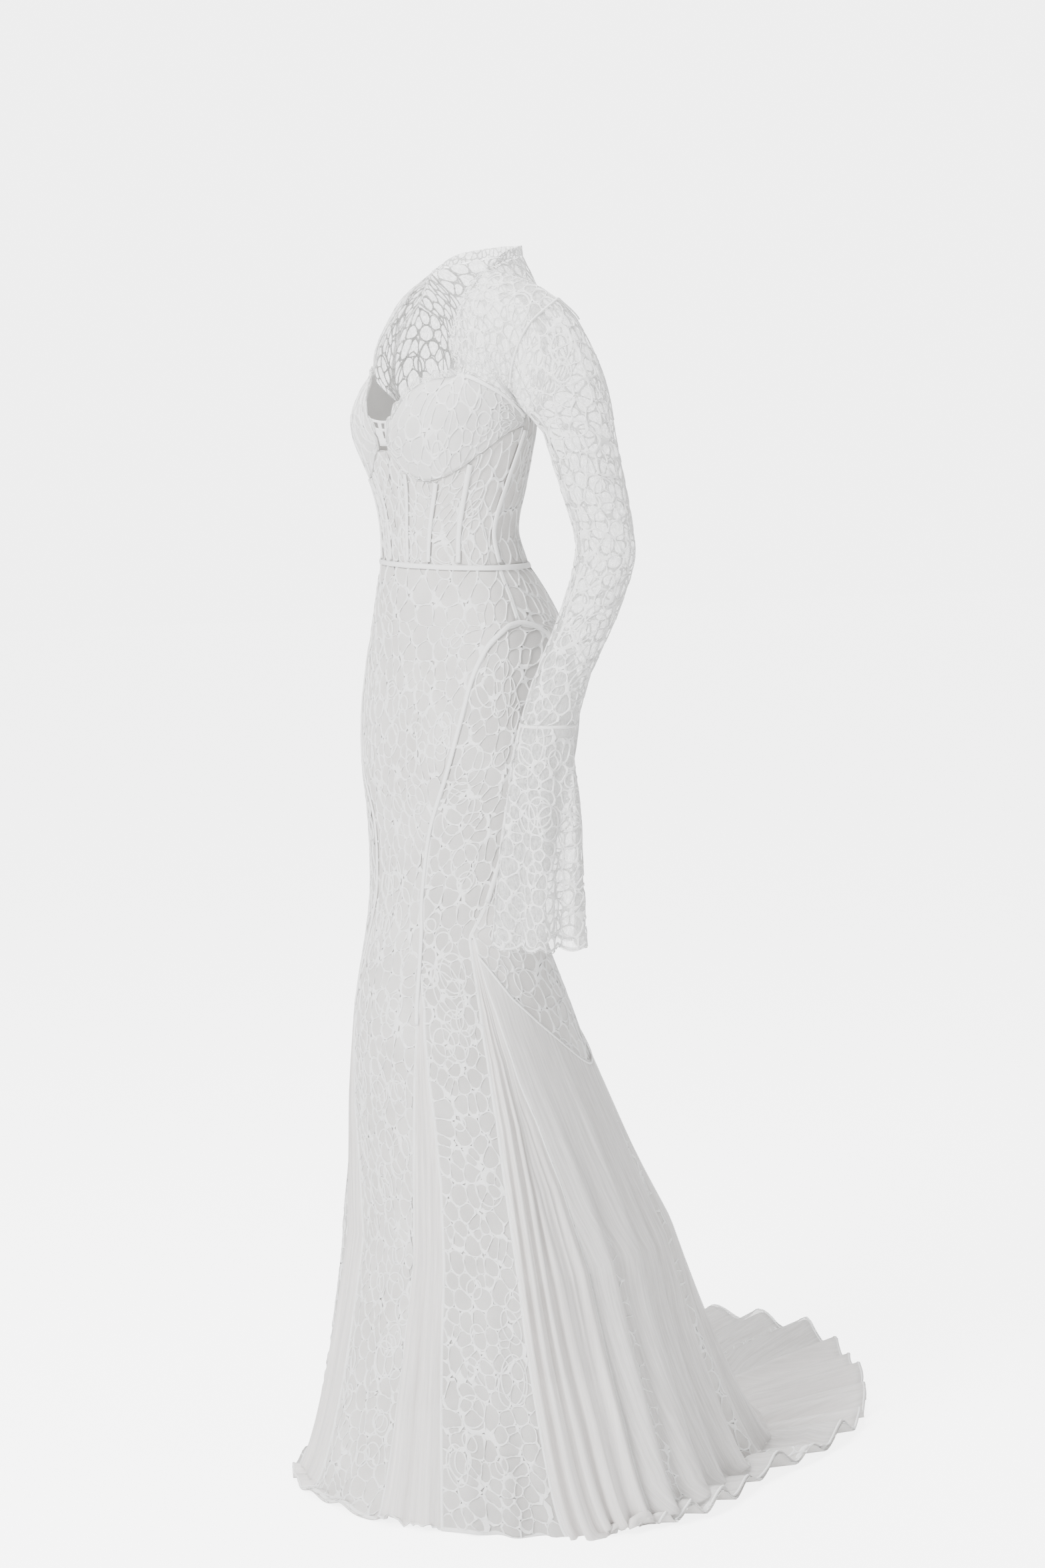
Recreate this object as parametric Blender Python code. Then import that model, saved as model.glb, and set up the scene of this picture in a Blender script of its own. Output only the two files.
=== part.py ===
# Mermaid gown of corded lace: boned corset, sheer lace yoke with long bell sleeves, and a fitted
# skirt that opens from the knee into godets and a train. Metres, +Z up, front towards -Y, train
# towards +Y, +X is the wearer's left. The tables give heights above the floor; the origin is on
# the gown's upright axis at shoulder height, where it hangs from the shoulders.

from math import cos, exp, pi, radians, sin, sqrt

import bmesh
import bpy
from mathutils import Vector

# Driving dimensions
HOLD_HEIGHT = 1.500          # shoulder line above the floor
WAIST = 1.214                # waist seam above the floor
FLARE = 0.335                # level from which the skirt sweeps out
SEAM_GAP = 0.0008            # between neighbouring pieces
LACE_WALL = 0.0018           # corset lace mounted on its lining
SKIRT_WALL = 0.0012          # skirt lace on its lining, and the gathered chiffon
SHEER_WALL = 0.0012          # lace on fine net
CUP_WALL = 0.0030            # padded cup
TRIM_WALL = 0.0012           # piping, bone casing and lace edging
TRIM_LIFT = 0.0010           # trims clear of the panel below them
TRIM_WIDTH = 0.0065          # bone casings and piping

# The skirt's sections: height, half width, depth in front and behind the axis
SKIRT_SECTIONS = (
    (0.335, 0.228, 0.096, 0.294),
    (0.440, 0.200, 0.102, 0.246),
    (0.520, 0.181, 0.108, 0.210),
    (0.600, 0.164, 0.111, 0.173),
    (0.660, 0.155, 0.106, 0.148),
    (0.752, 0.153, 0.085, 0.106),
    (0.800, 0.157, 0.078, 0.107),
    (0.880, 0.169, 0.076, 0.126),
    (0.953, 0.178, 0.083, 0.147),
    (1.020, 0.178, 0.080, 0.160),
    (1.075, 0.171, 0.073, 0.158),
    (1.128, 0.155, 0.072, 0.145),
    (1.180, 0.133, 0.073, 0.118),
    (1.214, 0.121, 0.071, 0.091),
)

# The corset's sections, the same way
CORSET_SECTIONS = (
    (1.214, 0.121, 0.071, 0.091),
    (1.260, 0.116, 0.074, 0.075),
    (1.318, 0.130, 0.079, 0.084),
    (1.368, 0.146, 0.085, 0.090),
    (1.400, 0.152, 0.088, 0.093),
    (1.437, 0.151, 0.080, 0.097),
    (1.460, 0.149, 0.060, 0.100),
)

# The hem on the floor: angle round the gown from the centre front, X and Y
HEM = (
    (0, -0.020, -0.172),
    (14, 0.065, -0.152),
    (31, 0.142, -0.095),
    (50, 0.190, -0.035),
    (74, 0.240, 0.045),
    (90, 0.264, 0.105),
    (105, 0.277, 0.168),
    (120, 0.268, 0.248),
    (135, 0.200, 0.365),
    (150, 0.160, 0.480),
    (165, 0.080, 0.610),
    (180, -0.050, 0.710),
    (195, -0.210, 0.780),
    (210, -0.370, 0.780),
    (225, -0.455, 0.690),
    (240, -0.450, 0.530),
    (255, -0.395, 0.350),
    (270, -0.330, 0.190),
    (286, -0.285, 0.050),
    (310, -0.235, -0.070),
    (329, -0.170, -0.145),
    (346, -0.095, -0.175),
)

# Seams of the skirt's left half: level, and the angle of the front panel's edge, of the side
# panel's front and back edges, of the back panel's front edge and of the train godet
SKIRT_SEAMS = (
    (0.000, 14.0, 31.0, 74.0, 106.0, 162.0),
    (0.067, 14.0, 31.0, 74.0, 106.0, 162.0),
    (0.134, 14.5, 31.0, 74.0, 106.0, 163.0),
    (0.201, 15.0, 31.0, 74.0, 106.0, 164.0),
    (0.268, 16.0, 31.5, 73.5, 105.0, 165.0),
    (0.335, 17.5, 33.0, 73.5, 104.0, 166.0),
    (0.440, 21.5, 36.5, 73.5, 101.0, 169.0),
    (0.520, 26.0, 37.5, 73.5, 96.0, 172.0),
    (0.600, 30.0, 36.5, 72.0, 88.0, 175.0),
    (0.660, 31.5, 34.5, 69.0, 79.0, 179.4),
    (0.700, 28.5, 29.5, 65.0, 71.0, 180.0),
    (0.706, 28.0, 28.0, 64.0, 70.0, 180.0),
    (0.752, 25.0, 25.0, 58.0, 61.0, 180.0),
    (0.758, 24.8, 24.8, 58.5, 58.5, 180.0),
    (0.800, 22.0, 22.0, 68.0, 68.0, 180.0),
    (0.880, 25.0, 25.0, 80.0, 80.0, 180.0),
    (0.953, 37.0, 37.0, 97.0, 97.0, 180.0),
    (1.020, 45.0, 45.0, 108.0, 108.0, 180.0),
    (1.075, 52.0, 52.0, 115.0, 115.0, 180.0),
    (1.115, 65.0, 65.0, 118.0, 118.0, 180.0),
    (1.138, 82.0, 82.0, 112.0, 112.0, 180.0),
    (1.144, 96.5, 96.5, 97.5, 97.5, 180.0),
    (1.150, 97.0, 97.0, 97.0, 97.0, 180.0),
    (1.180, 96.0, 96.0, 96.0, 96.0, 180.0),
    (1.214, 92.0, 92.0, 92.0, 92.0, 180.0),
)
SIDE_PANEL_TOP = 1.144
GODET_FRONT_TOP = 0.700
GODET_SIDE_TOP = 0.752
TRAIN_GODET_TOP = 0.660

# Folds that stand out of the skirt: angle at the hem, half width in degrees, height, top level
FOLDS = (
    (353.0, 3.4, 0.007, 0.45),
    (4.2, 3.0, 0.009, 0.40),
    (18.2, 2.6, 0.013, 0.60),
    (26.8, 2.4, 0.011, 0.62),
    (41.7, 4.4, 0.010, 0.42),
    (56.0, 4.8, 0.013, 0.50),
    (70.3, 3.0, 0.007, 0.36),
    (77.2, 2.1, 0.016, 0.70),
    (83.6, 2.2, 0.021, 0.72),
    (90.0, 2.1, 0.016, 0.70),
    (96.4, 2.2, 0.023, 0.70),
    (102.8, 2.0, 0.017, 0.66),
    (110.7, 3.1, 0.022, 0.62),
    (120.0, 3.3, 0.027, 0.58),
    (129.3, 3.0, 0.021, 0.60),
    (138.7, 3.3, 0.030, 0.55),
    (148.0, 3.0, 0.023, 0.60),
    (157.3, 3.1, 0.028, 0.58),
    (165.0, 2.1, 0.024, 0.62),
    (171.0, 2.2, 0.031, 0.64),
    (177.0, 2.0, 0.024, 0.64),
    (183.0, 2.2, 0.032, 0.62),
    (189.0, 2.0, 0.025, 0.62),
    (195.0, 2.1, 0.027, 0.60),
    (202.7, 3.2, 0.029, 0.58),
    (212.0, 3.0, 0.022, 0.55),
    (221.3, 3.3, 0.027, 0.58),
    (230.7, 3.0, 0.021, 0.55),
    (240.0, 3.2, 0.025, 0.60),
    (249.3, 3.0, 0.019, 0.60),
    (257.2, 2.1, 0.018, 0.68),
    (263.6, 2.2, 0.021, 0.70),
    (270.0, 2.0, 0.016, 0.72),
    (276.4, 2.2, 0.020, 0.70),
    (282.8, 2.0, 0.015, 0.68),
    (289.7, 3.0, 0.007, 0.40),
    (304.0, 4.8, 0.012, 0.48),
    (318.3, 4.4, 0.010, 0.45),
    (333.2, 2.4, 0.012, 0.60),
    (341.8, 2.6, 0.010, 0.60),
)

# Cups: angle and height of the fullest point, and how far each stands out
CUP_ANGLE = 30.0
CUP_HEIGHT = 1.382
CUP_DEPTH = 0.021
CUP_SPREAD = 24.0
CUP_RISE = 0.042

# Left cup: angle from the centre front, lower edge, upper edge
CUP_EDGES = (
    (5.0, 1.3580, 1.3720),
    (14.0, 1.3370, 1.4090),
    (22.0, 1.3255, 1.4370),
    (31.0, 1.3210, 1.4460),
    (40.0, 1.3240, 1.4475),
    (49.0, 1.3320, 1.4530),
    (58.0, 1.3430, 1.4500),
    (72.0, 1.3620, 1.4400),
    (86.0, 1.3790, 1.4270),
    (105.0, 1.3900, 1.4020),
)
YOKE_ANGLE = 51.0            # where the yoke's neck edge meets the cup

# Corset seams of the left half: height, then angle of each bone line and of the side seam
CORSET_SEAMS = (
    (1.214, 10.0, 29.0, 54.0, 92.0),
    (1.260, 12.0, 33.0, 57.0, 88.0),
    (1.318, 15.5, 38.0, 60.0, 95.0),
    (1.368, 17.0, 40.0, 62.0, 102.0),
    (1.385, 17.0, 40.0, 62.0, 105.0),
    (1.402, 17.0, 40.0, 62.0, 105.0),
)

# Neck edge of the left yoke from the cup to the nape: X, Y, height
NECK_EDGE = (
    (0.097, -0.045, 1.490),
    (0.085, -0.030, 1.524),
    (0.077, -0.010, 1.556),
    (0.068, 0.016, 1.580),
)
NAPE_EDGE = (
    (0.068, 0.016, 1.580),
    (0.060, 0.045, 1.590),
    (0.042, 0.078, 1.597),
    (0.022, 0.096, 1.600),
    (0.000, 0.102, 1.600),
)
SHOULDER_LINE = (
    (0.068, 0.016, 1.580),
    (0.100, 0.028, 1.573),
    (0.135, 0.042, 1.563),
    (0.172, 0.055, 1.543),
)
ARMHOLE_FRONT = (
    (0.146, 0.006, 1.430),
    (0.150, 0.006, 1.468),
    (0.160, 0.021, 1.510),
    (0.172, 0.055, 1.543),
)
ARMHOLE_BACK = (
    (0.150, 0.068, 1.432),
    (0.157, 0.096, 1.472),
    (0.166, 0.090, 1.514),
    (0.172, 0.055, 1.543),
)
UNDERARM_ANGLE = 105.0
BACK_TOP = 1.402
BACK_SPINE = (
    (0.000, 0.102, 1.440),
    (0.000, 0.116, 1.490),
    (0.000, 0.120, 1.545),
    (0.000, 0.102, 1.600),
)
COLLAR_HEIGHT = 0.013

# Sleeves down their middle: distance from the gown's middle, Y, height, radius
LEFT_SLEEVE = (
    (0.201, 0.070, 1.380, 0.0430),
    (0.213, 0.081, 1.318, 0.0400),
    (0.226, 0.089, 1.262, 0.0360),
    (0.230, 0.088, 1.225, 0.0360),
    (0.232, 0.066, 1.165, 0.0350),
    (0.234, 0.027, 1.090, 0.0335),
    (0.236, 0.004, 1.030, 0.0340),
)
LEFT_BELL = (
    (0.236, 0.004, 1.030, 0.0340),
    (0.238, -0.004, 0.990, 0.0380),
    (0.243, -0.008, 0.930, 0.0450),
    (0.246, -0.013, 0.850, 0.0500),
    (0.248, -0.016, 0.765, 0.0540),
)
RIGHT_SLEEVE = (
    (0.205, 0.082, 1.380, 0.0430),
    (0.221, 0.100, 1.318, 0.0400),
    (0.232, 0.112, 1.262, 0.0370),
    (0.236, 0.116, 1.225, 0.0365),
    (0.237, 0.118, 1.165, 0.0350),
    (0.237, 0.116, 1.090, 0.0335),
    (0.237, 0.113, 1.030, 0.0340),
)
RIGHT_BELL = (
    (0.237, 0.113, 1.030, 0.0340),
    (0.238, 0.112, 0.990, 0.0380),
    (0.241, 0.111, 0.930, 0.0450),
    (0.246, 0.110, 0.850, 0.0500),
    (0.250, 0.108, 0.765, 0.0540),
)
SLEEVE_HEAD = 0.011          # roundness of the sleeve head
SLEEVE_HEAD_SHARE = 0.30     # of the sleeve's length, from the armhole down
ARMHOLE_GAP = 0.0012         # where the sleeve meets the yoke at a slant
BELL_WAVES = 6
BELL_WAVE = 0.011
BELL_SCALLOPS = 12
BELL_SCALLOP = 0.007
LASH = 0.010                 # how far the lace edging stands off its edge

IVORY = (0.86, 0.86, 0.84, 1.0)
LINING_WHITE = (0.78, 0.77, 0.75, 1.0)
CHIFFON_WHITE = (0.84, 0.81, 0.79, 1.0)
NET_WHITE = (0.84, 0.84, 0.83, 1.0)


for old in list(bpy.data.objects):
    bpy.data.objects.remove(old, do_unlink=True)

gown = bpy.data.collections.new("mermaid_gown")
bpy.context.scene.collection.children.link(gown)
shoulders = bpy.data.objects.new("wearer_shoulders", None)
shoulders.location = (0.0, 0.0, -HOLD_HEIGHT)
gown.objects.link(shoulders)


# Tables and curves

def read(table, x, column):
    """Smooth value of a column at x, from rows sorted by their first number."""
    count = len(table)
    if x <= table[0][0]:
        return table[0][column]
    if x >= table[-1][0]:
        return table[-1][column]
    row = 0
    while table[row + 1][0] < x:
        row += 1

    def slope(at):
        low = max(at - 1, 0)
        high = min(at + 1, count - 1)
        return (table[high][column] - table[low][column]) / (table[high][0] - table[low][0])

    span = table[row + 1][0] - table[row][0]
    t = (x - table[row][0]) / span
    start, end = table[row][column], table[row + 1][column]
    rise, fall = slope(row) * span, slope(row + 1) * span
    return ((2 * t ** 3 - 3 * t ** 2 + 1) * start + (t ** 3 - 2 * t ** 2 + t) * rise
            + (3 * t ** 2 - 2 * t ** 3) * end + (t ** 3 - t ** 2) * fall)


def read_straight(table, x, column):
    """Straight-line value of a column at x."""
    if x <= table[0][0]:
        return table[0][column]
    for low, high in zip(table, table[1:]):
        if x <= high[0]:
            t = (x - low[0]) / (high[0] - low[0])
            return low[column] + t * (high[column] - low[column])
    return table[-1][column]


def follow(points, t):
    """Point at t from 0 to 1 along a smooth curve through the points."""
    last = len(points) - 1
    table = [(i / last, *point) for i, point in enumerate(points)]
    return Vector([read(table, t, k + 1) for k in range(len(points[0]))])


def soft_step(t):
    t = min(max(t, 0.0), 1.0)
    return t * t * (3.0 - 2.0 * t)


# The gown's two main surfaces

def section_point(table, angle, height):
    """Point of a horizontal section; the angle runs from the centre front towards +X."""
    half = read(table, height, 1)
    depth = read(table, height, 2) if cos(radians(angle)) > 0 else read(table, height, 3)
    return Vector((half * sin(radians(angle)), -depth * cos(radians(angle)), height))


def turn_between(a, b):
    return (a - b + 180.0) % 360.0 - 180.0


HEM_RING = (tuple((angle - 360, x, y) for angle, x, y in HEM) + HEM
            + tuple((angle + 360, x, y) for angle, x, y in HEM))


def hem_point(angle):
    angle = angle % 360.0
    return Vector((read(HEM_RING, angle, 1), read(HEM_RING, angle, 2), 0.0))


def sweep(angle, level):
    """Skirt below the flare: it falls, turns outwards and runs along the floor to the hem."""
    start = section_point(SKIRT_SECTIONS, angle, FLARE)
    run = hem_point(angle) - Vector((start.x, start.y, 0.0))
    reach = run.length
    fall = reach / (1.0 + reach / 0.35)
    fall_length = sqrt(fall ** 2 + FLARE ** 2)
    turn_share = fall_length / (fall_length + reach - fall)
    share = (FLARE - level) / FLARE
    if share < turn_share:
        k = share / turn_share
        out, height = fall * k, FLARE * (1.0 - k) ** 1.5
    else:
        k = (share - turn_share) / (1.0 - turn_share)
        out, height = fall + (reach - fall) * k, 0.0
    return Vector((start.x, start.y, height)) + run * (out / reach)


def smooth_skirt(angle, level):
    if level >= FLARE:
        return section_point(SKIRT_SECTIONS, angle, level)
    return sweep(angle, level)


def smooth_corset(angle, height):
    point = section_point(CORSET_SECTIONS, angle, height)
    side = min(abs(turn_between(angle, CUP_ANGLE)), abs(turn_between(angle, -CUP_ANGLE)))
    bulge = CUP_DEPTH * exp(-(side / CUP_SPREAD) ** 2 / 2 - ((height - CUP_HEIGHT) / CUP_RISE) ** 2 / 2)
    outward = Vector((point.x, point.y, 0.0)).normalized()
    return point + outward * bulge


def normal_of(surface, a, b, step_a=0.5, step_b=0.003):
    along = surface(a + step_a, b) - surface(a - step_a, b)
    up = surface(a, b + step_b) - surface(a, max(b - step_b, 0.0))
    return along.cross(up).normalized()


def at_hem(angle, level):
    """Angle at the hem that a point comes down to: the folds run between the seams."""
    turned = turn_between(angle, 0.0)
    side = 1.0 if turned >= 0.0 else -1.0
    edges = [(0.0, 0.0)]
    for column in range(1, 6):
        here = read_straight(SKIRT_SEAMS, level, column)
        edges.append((max(here, edges[-1][0] + 0.0001), SKIRT_SEAMS[0][column]))
    edges.append((max(180.0, edges[-1][0] + 0.0001), 180.0))
    return side * read_straight(edges, abs(turned), 1)


def fold_height(angle, level):
    """How far the folds stand out of the skirt at an angle and level."""
    height = 0.0
    hem_angle = at_hem(angle, level) if level < 0.75 else angle
    for middle, half_width, size, top in FOLDS:
        if level < top:
            away = turn_between(hem_angle, middle) / half_width
            height += size * exp(-away * away) * soft_step((top - level) / top)
    return height


def skirt_normal(angle, level):
    """Outward direction of the skirt without its folds."""
    return normal_of(smooth_skirt, angle, level, step_b=0.020)


def skirt(angle, level, lift=0.0):
    """Outer side of the skirt; lift moves the point out of it."""
    base = smooth_skirt(angle, level)
    rise = SKIRT_WALL * soft_step((FLARE - level) / FLARE)
    out = skirt_normal(angle, level) * (fold_height(angle, level) + lift)
    return base + out + Vector((0.0, 0.0, rise))


# Walls

def material(name, color, roughness):
    made = bpy.data.materials.new(name)
    made.use_nodes = True
    shader = made.node_tree.nodes["Principled BSDF"]
    shader.inputs["Base Color"].default_value = color
    shader.inputs["Roughness"].default_value = roughness
    shader.inputs["Metallic"].default_value = 0.0
    return made


def wall(name, columns, rows, place, thickness, color, holes=(), outward=None):
    """Closed cloth wall from a grid. place(u, v) gives the outer side, u runs from the front
    round by +X to the back, v runs up, and the inner side lies inwards, against outward."""
    us = columns if isinstance(columns, (list, tuple)) else [i / columns for i in range(columns + 1)]
    vs = rows if isinstance(rows, (list, tuple)) else [j / rows for j in range(rows + 1)]
    across, up = len(us) - 1, len(vs) - 1
    bm = bmesh.new()
    bmesh.ops.create_grid(bm, x_segments=across, y_segments=up, size=0.5)
    spot = {v: (round((v.co.x + 0.5) * across), round((v.co.y + 0.5) * up)) for v in bm.verts}
    cut = []
    for face in bm.faces:
        column = min(spot[v][0] for v in face.verts)
        row = min(spot[v][1] for v in face.verts)
        if (column, row) in holes:
            cut.append(face)
    bmesh.ops.delete(bm, geom=cut, context="FACES")
    outer = list(bm.verts)
    places = {v: spot[v] for v in outer}
    made = bmesh.ops.extrude_face_region(bm, geom=bm.faces[:], use_keep_orig=True)
    inner = [g for g in made["geom"] if isinstance(g, bmesh.types.BMVert)]
    nearest = {(round(v.co.x, 5), round(v.co.y, 5)): places[v] for v in outer}
    pairs = [(v, places[v], 0.0) for v in outer]
    pairs += [(v, nearest[(round(v.co.x, 5), round(v.co.y, 5))], thickness) for v in inner]
    small = 0.002

    def edge_safe(u, v):
        along = place(min(u + small, 1.0), v) - place(max(u - small, 0.0), v)
        rise = place(u, min(v + small, 1.0)) - place(u, max(v - small, 0.0))
        return along.normalized(), rise.normalized()

    targets = []
    for vert, (i, j), depth in pairs:
        u, v = us[i], vs[j]
        along, rise = edge_safe(u, v)
        out = outward(u, v) if outward else along.cross(rise).normalized()
        target = place(u, v) - out * depth
        square_along = (along - rise * along.dot(rise)).normalized()
        square_rise = (rise - along * along.dot(rise)).normalized()
        if i == 0:
            target += square_along * (SEAM_GAP / 2)
        if i == across:
            target -= square_along * (SEAM_GAP / 2)
        if j == 0:
            target += square_rise * (SEAM_GAP / 2)
        if j == up:
            target -= square_rise * (SEAM_GAP / 2)
        targets.append((vert, target))
    for vert, target in targets:
        vert.co = target
    bmesh.ops.recalc_face_normals(bm, faces=bm.faces[:])
    mesh = bpy.data.meshes.new(name)
    bm.to_mesh(mesh)
    bm.free()
    mesh.shade_smooth()
    piece = bpy.data.objects.new(name, mesh)
    piece.parent = shoulders
    gown.objects.link(piece)
    mesh.materials.append(material(name + "_cloth", color, 0.75))
    return piece


def mirrored(place):
    """The same surface on the wearer's right, with u still running the same way round."""
    def other(u, v):
        point = place(1.0 - u, v)
        return Vector((-point.x, point.y, point.z))
    return other


def level_rows(bottom, top, levels):
    inside = [level for level in levels if bottom < level < top]
    return [(level - bottom) / (top - bottom) for level in [bottom, *inside, top]]


# Skirt panels

EXTRA_LEVELS = (0.840, 0.916)
LEVELS = sorted([row[0] for row in SKIRT_SEAMS] + list(EXTRA_LEVELS))


def seam(column, level, right=False):
    angle = read_straight(SKIRT_SEAMS, level, column)
    return -angle if right else angle


def skirt_panel(name, first, last, bottom, top, columns, thickness, color):
    """Panel between two seam functions of the level, from the floor or a seam up to top."""
    def spot(u, v):
        level = bottom + (top - bottom) * v
        start, end = first(level), last(level)
        return start + (end - start) * u, level
    wall(name, columns, level_rows(bottom, top, LEVELS), lambda u, v: skirt(*spot(u, v)),
         thickness, color, outward=lambda u, v: skirt_normal(*spot(u, v)))


skirt_panel("skirt_front", lambda z: seam(1, z, True), lambda z: seam(1, z), 0.0, WAIST - 0.001,
            8, SKIRT_WALL, IVORY)
skirt_panel("skirt_side_left", lambda z: seam(2, z), lambda z: seam(3, z), 0.0, SIDE_PANEL_TOP,
            6, SKIRT_WALL, LINING_WHITE)
skirt_panel("skirt_side_right", lambda z: -seam(3, z), lambda z: -seam(2, z), 0.0,
            SIDE_PANEL_TOP, 6, SKIRT_WALL, LINING_WHITE)
skirt_panel("skirt_back_left", lambda z: seam(4, z), lambda z: seam(5, z), 0.0, WAIST - 0.001,
            12, SKIRT_WALL, IVORY)
skirt_panel("skirt_back_right", lambda z: 360 - seam(5, z), lambda z: 360 - seam(4, z), 0.0,
            WAIST - 0.001, 12, SKIRT_WALL, IVORY)
skirt_panel("godet_front_left", lambda z: seam(1, z), lambda z: seam(2, z), 0.0,
            GODET_FRONT_TOP, 4, SKIRT_WALL, CHIFFON_WHITE)
skirt_panel("godet_front_right", lambda z: -seam(2, z), lambda z: -seam(1, z), 0.0,
            GODET_FRONT_TOP, 4, SKIRT_WALL, CHIFFON_WHITE)
skirt_panel("godet_side_left", lambda z: seam(3, z), lambda z: seam(4, z), 0.0,
            GODET_SIDE_TOP, 10, SKIRT_WALL, CHIFFON_WHITE)
skirt_panel("godet_side_right", lambda z: -seam(4, z), lambda z: -seam(3, z), 0.0,
            GODET_SIDE_TOP, 10, SKIRT_WALL, CHIFFON_WHITE)
skirt_panel("train_godet", lambda z: seam(5, z), lambda z: 360 - seam(5, z), 0.0,
            TRAIN_GODET_TOP, 12, SKIRT_WALL, CHIFFON_WHITE)


# Corset panels, from the waist to the cups or the back seam

def corset_seam(column, height):
    return read(CORSET_SEAMS, height, column)


def cup_bottom(angle):
    return read(CUP_EDGES, abs(angle), 1)


CORSET_ROWS = 5
SIDE_SEAM_TOP = 1.3888       # where the side seam ends under the cup


def corset_panel(name, first, last, columns, top_of, rows=CORSET_ROWS):
    """Panel whose side seams follow the bone lines and whose top follows the cup seam."""
    def place(u, v):
        top = 1.35
        for _ in range(5):
            top = top_of(first(top) + (last(top) - first(top)) * u)
        height = WAIST + 0.001 + (top - WAIST - 0.001) * v
        start, end = first(height), last(height)
        return smooth_corset(start + (end - start) * u, height)
    wall(name, columns, rows, place, LACE_WALL, IVORY)


def under_cup(angle):
    return cup_bottom(angle) - 0.0012


def back_top(angle):
    return BACK_TOP - 0.0005


BACK_SHARE = (SIDE_SEAM_TOP - WAIST - 0.001) / (BACK_TOP - 0.0005 - WAIST - 0.001)
BACK_ROWS = [BACK_SHARE * row / CORSET_ROWS for row in range(CORSET_ROWS + 1)] + [1.0]


corset_panel("corset_front_left", lambda z: 0.0, lambda z: corset_seam(2, z), 7, under_cup)
corset_panel("corset_front_right", lambda z: -corset_seam(2, z), lambda z: 0.0, 7, under_cup)
corset_panel("corset_side_left", lambda z: corset_seam(2, z), lambda z: corset_seam(4, z),
             7, under_cup)
corset_panel("corset_side_right", lambda z: -corset_seam(4, z), lambda z: -corset_seam(2, z),
             7, under_cup)
corset_panel("corset_back_left", lambda z: corset_seam(4, z), lambda z: 180.0, 7, back_top,
             BACK_ROWS)
corset_panel("corset_back_right", lambda z: 180.0, lambda z: 360.0 - corset_seam(4, z),
             7, back_top, BACK_ROWS)


# Cups

def cup_top(angle):
    return read(CUP_EDGES, abs(angle), 2)


def cup(u, v):
    angle = CUP_EDGES[0][0] + (UNDERARM_ANGLE - CUP_EDGES[0][0]) * u
    bottom, top = cup_bottom(angle), cup_top(angle)
    return smooth_corset(angle, bottom + (top - bottom) * v)


wall("cup_left", 14, 4, cup, CUP_WALL, IVORY)
wall("cup_right", 14, 4, mirrored(cup), CUP_WALL, IVORY)


# Open lace inset in the V between the cups, with its gaps cut through

INSET_TOP = 1.398
INSET_BACK = 0.0032          # it lies behind the cups' edging


def inset(u, v):
    half = read_straight(((1.362, 4.6), (1.372, 4.6), (1.409, 13.6)), 1.3625 + 0.0355 * v, 1)
    dip = 0.004 * (1.0 - (2.0 * u - 1.0) ** 2) * v
    height = 1.3625 + (INSET_TOP - 1.3625) * v - dip
    point = smooth_corset(half * (2.0 * u - 1.0), height)
    return point - Vector((point.x, point.y, 0.0)).normalized() * INSET_BACK


INSET_COLUMNS = (0.0, 0.14, 0.30, 0.42, 0.58, 0.70, 0.86, 1.0)
INSET_ROWS = (0.0, 0.30, 0.58, 0.68, 0.90, 1.0)
wall("v_inset", list(INSET_COLUMNS), list(INSET_ROWS), inset, SHEER_WALL, IVORY,
     holes=((1, 3), (3, 1), (3, 3), (5, 3)))


# Yoke: four curved pieces between the neck edge, the shoulders, the armholes and the corset

def yoke_outward(point):
    inside = Vector((0.7 * point.x, 0.045, 1.47 + 0.35 * (point.z - 1.47)))
    return (point - inside).normalized()


def patch(bottom, top, left, right, bulge):
    """Curved piece between four edges, rounded out in its middle."""
    corners = (bottom(0.0), bottom(1.0), top(0.0), top(1.0))

    def place(u, v):
        across = bottom(u) * (1 - v) + top(u) * v
        along = left(v) * (1 - u) + right(v) * u
        flat = (corners[0] * (1 - u) * (1 - v) + corners[1] * u * (1 - v)
                + corners[2] * (1 - u) * v + corners[3] * u * v)
        point = across + along - flat
        return point + yoke_outward(point) * bulge * sin(pi * u) * sin(pi * v)
    return place


def on_corset(angle, height):
    return smooth_corset(angle, height)


neck_start = on_corset(YOKE_ANGLE, cup_top(YOKE_ANGLE) + 0.001)
underarm = on_corset(UNDERARM_ANGLE, BACK_TOP + 0.001)
neck_edge = [tuple(neck_start), *NECK_EDGE]
armhole_front = [tuple(underarm), *ARMHOLE_FRONT]
armhole_back = [tuple(underarm), *ARMHOLE_BACK]
spine = [tuple(on_corset(180.0, BACK_TOP + 0.001)), *BACK_SPINE]


def front_bottom(u):
    angle = YOKE_ANGLE + (UNDERARM_ANGLE - YOKE_ANGLE) * u
    return on_corset(angle, cup_top(angle) + 0.001)


def back_bottom(u):
    return on_corset(UNDERARM_ANGLE + (180.0 - UNDERARM_ANGLE) * u, BACK_TOP + 0.001)


def back_yoke_top(u):
    if u < 0.5:
        return follow(SHOULDER_LINE, 1.0 - 2.0 * u)
    return follow(NAPE_EDGE, 2.0 * u - 1.0)


front_yoke = patch(front_bottom, lambda u: follow(SHOULDER_LINE, u),
                   lambda v: follow(neck_edge, v), lambda v: follow(armhole_front, v), 0.006)
back_yoke = patch(back_bottom, back_yoke_top,
                  lambda v: follow(armhole_back, v), lambda v: follow(spine, v), 0.008)


def outward_of(place):
    return lambda u, v: yoke_outward(place(u, v))


for name, columns, place in (("yoke_front", 5, front_yoke), ("yoke_back", 10, back_yoke)):
    wall(name + "_left", columns, 8, place, SHEER_WALL, NET_WHITE, outward=outward_of(place))
    other = mirrored(place)
    wall(name + "_right", columns, 8, other, SHEER_WALL, NET_WHITE, outward=outward_of(other))


# Stand collar at the nape

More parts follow.
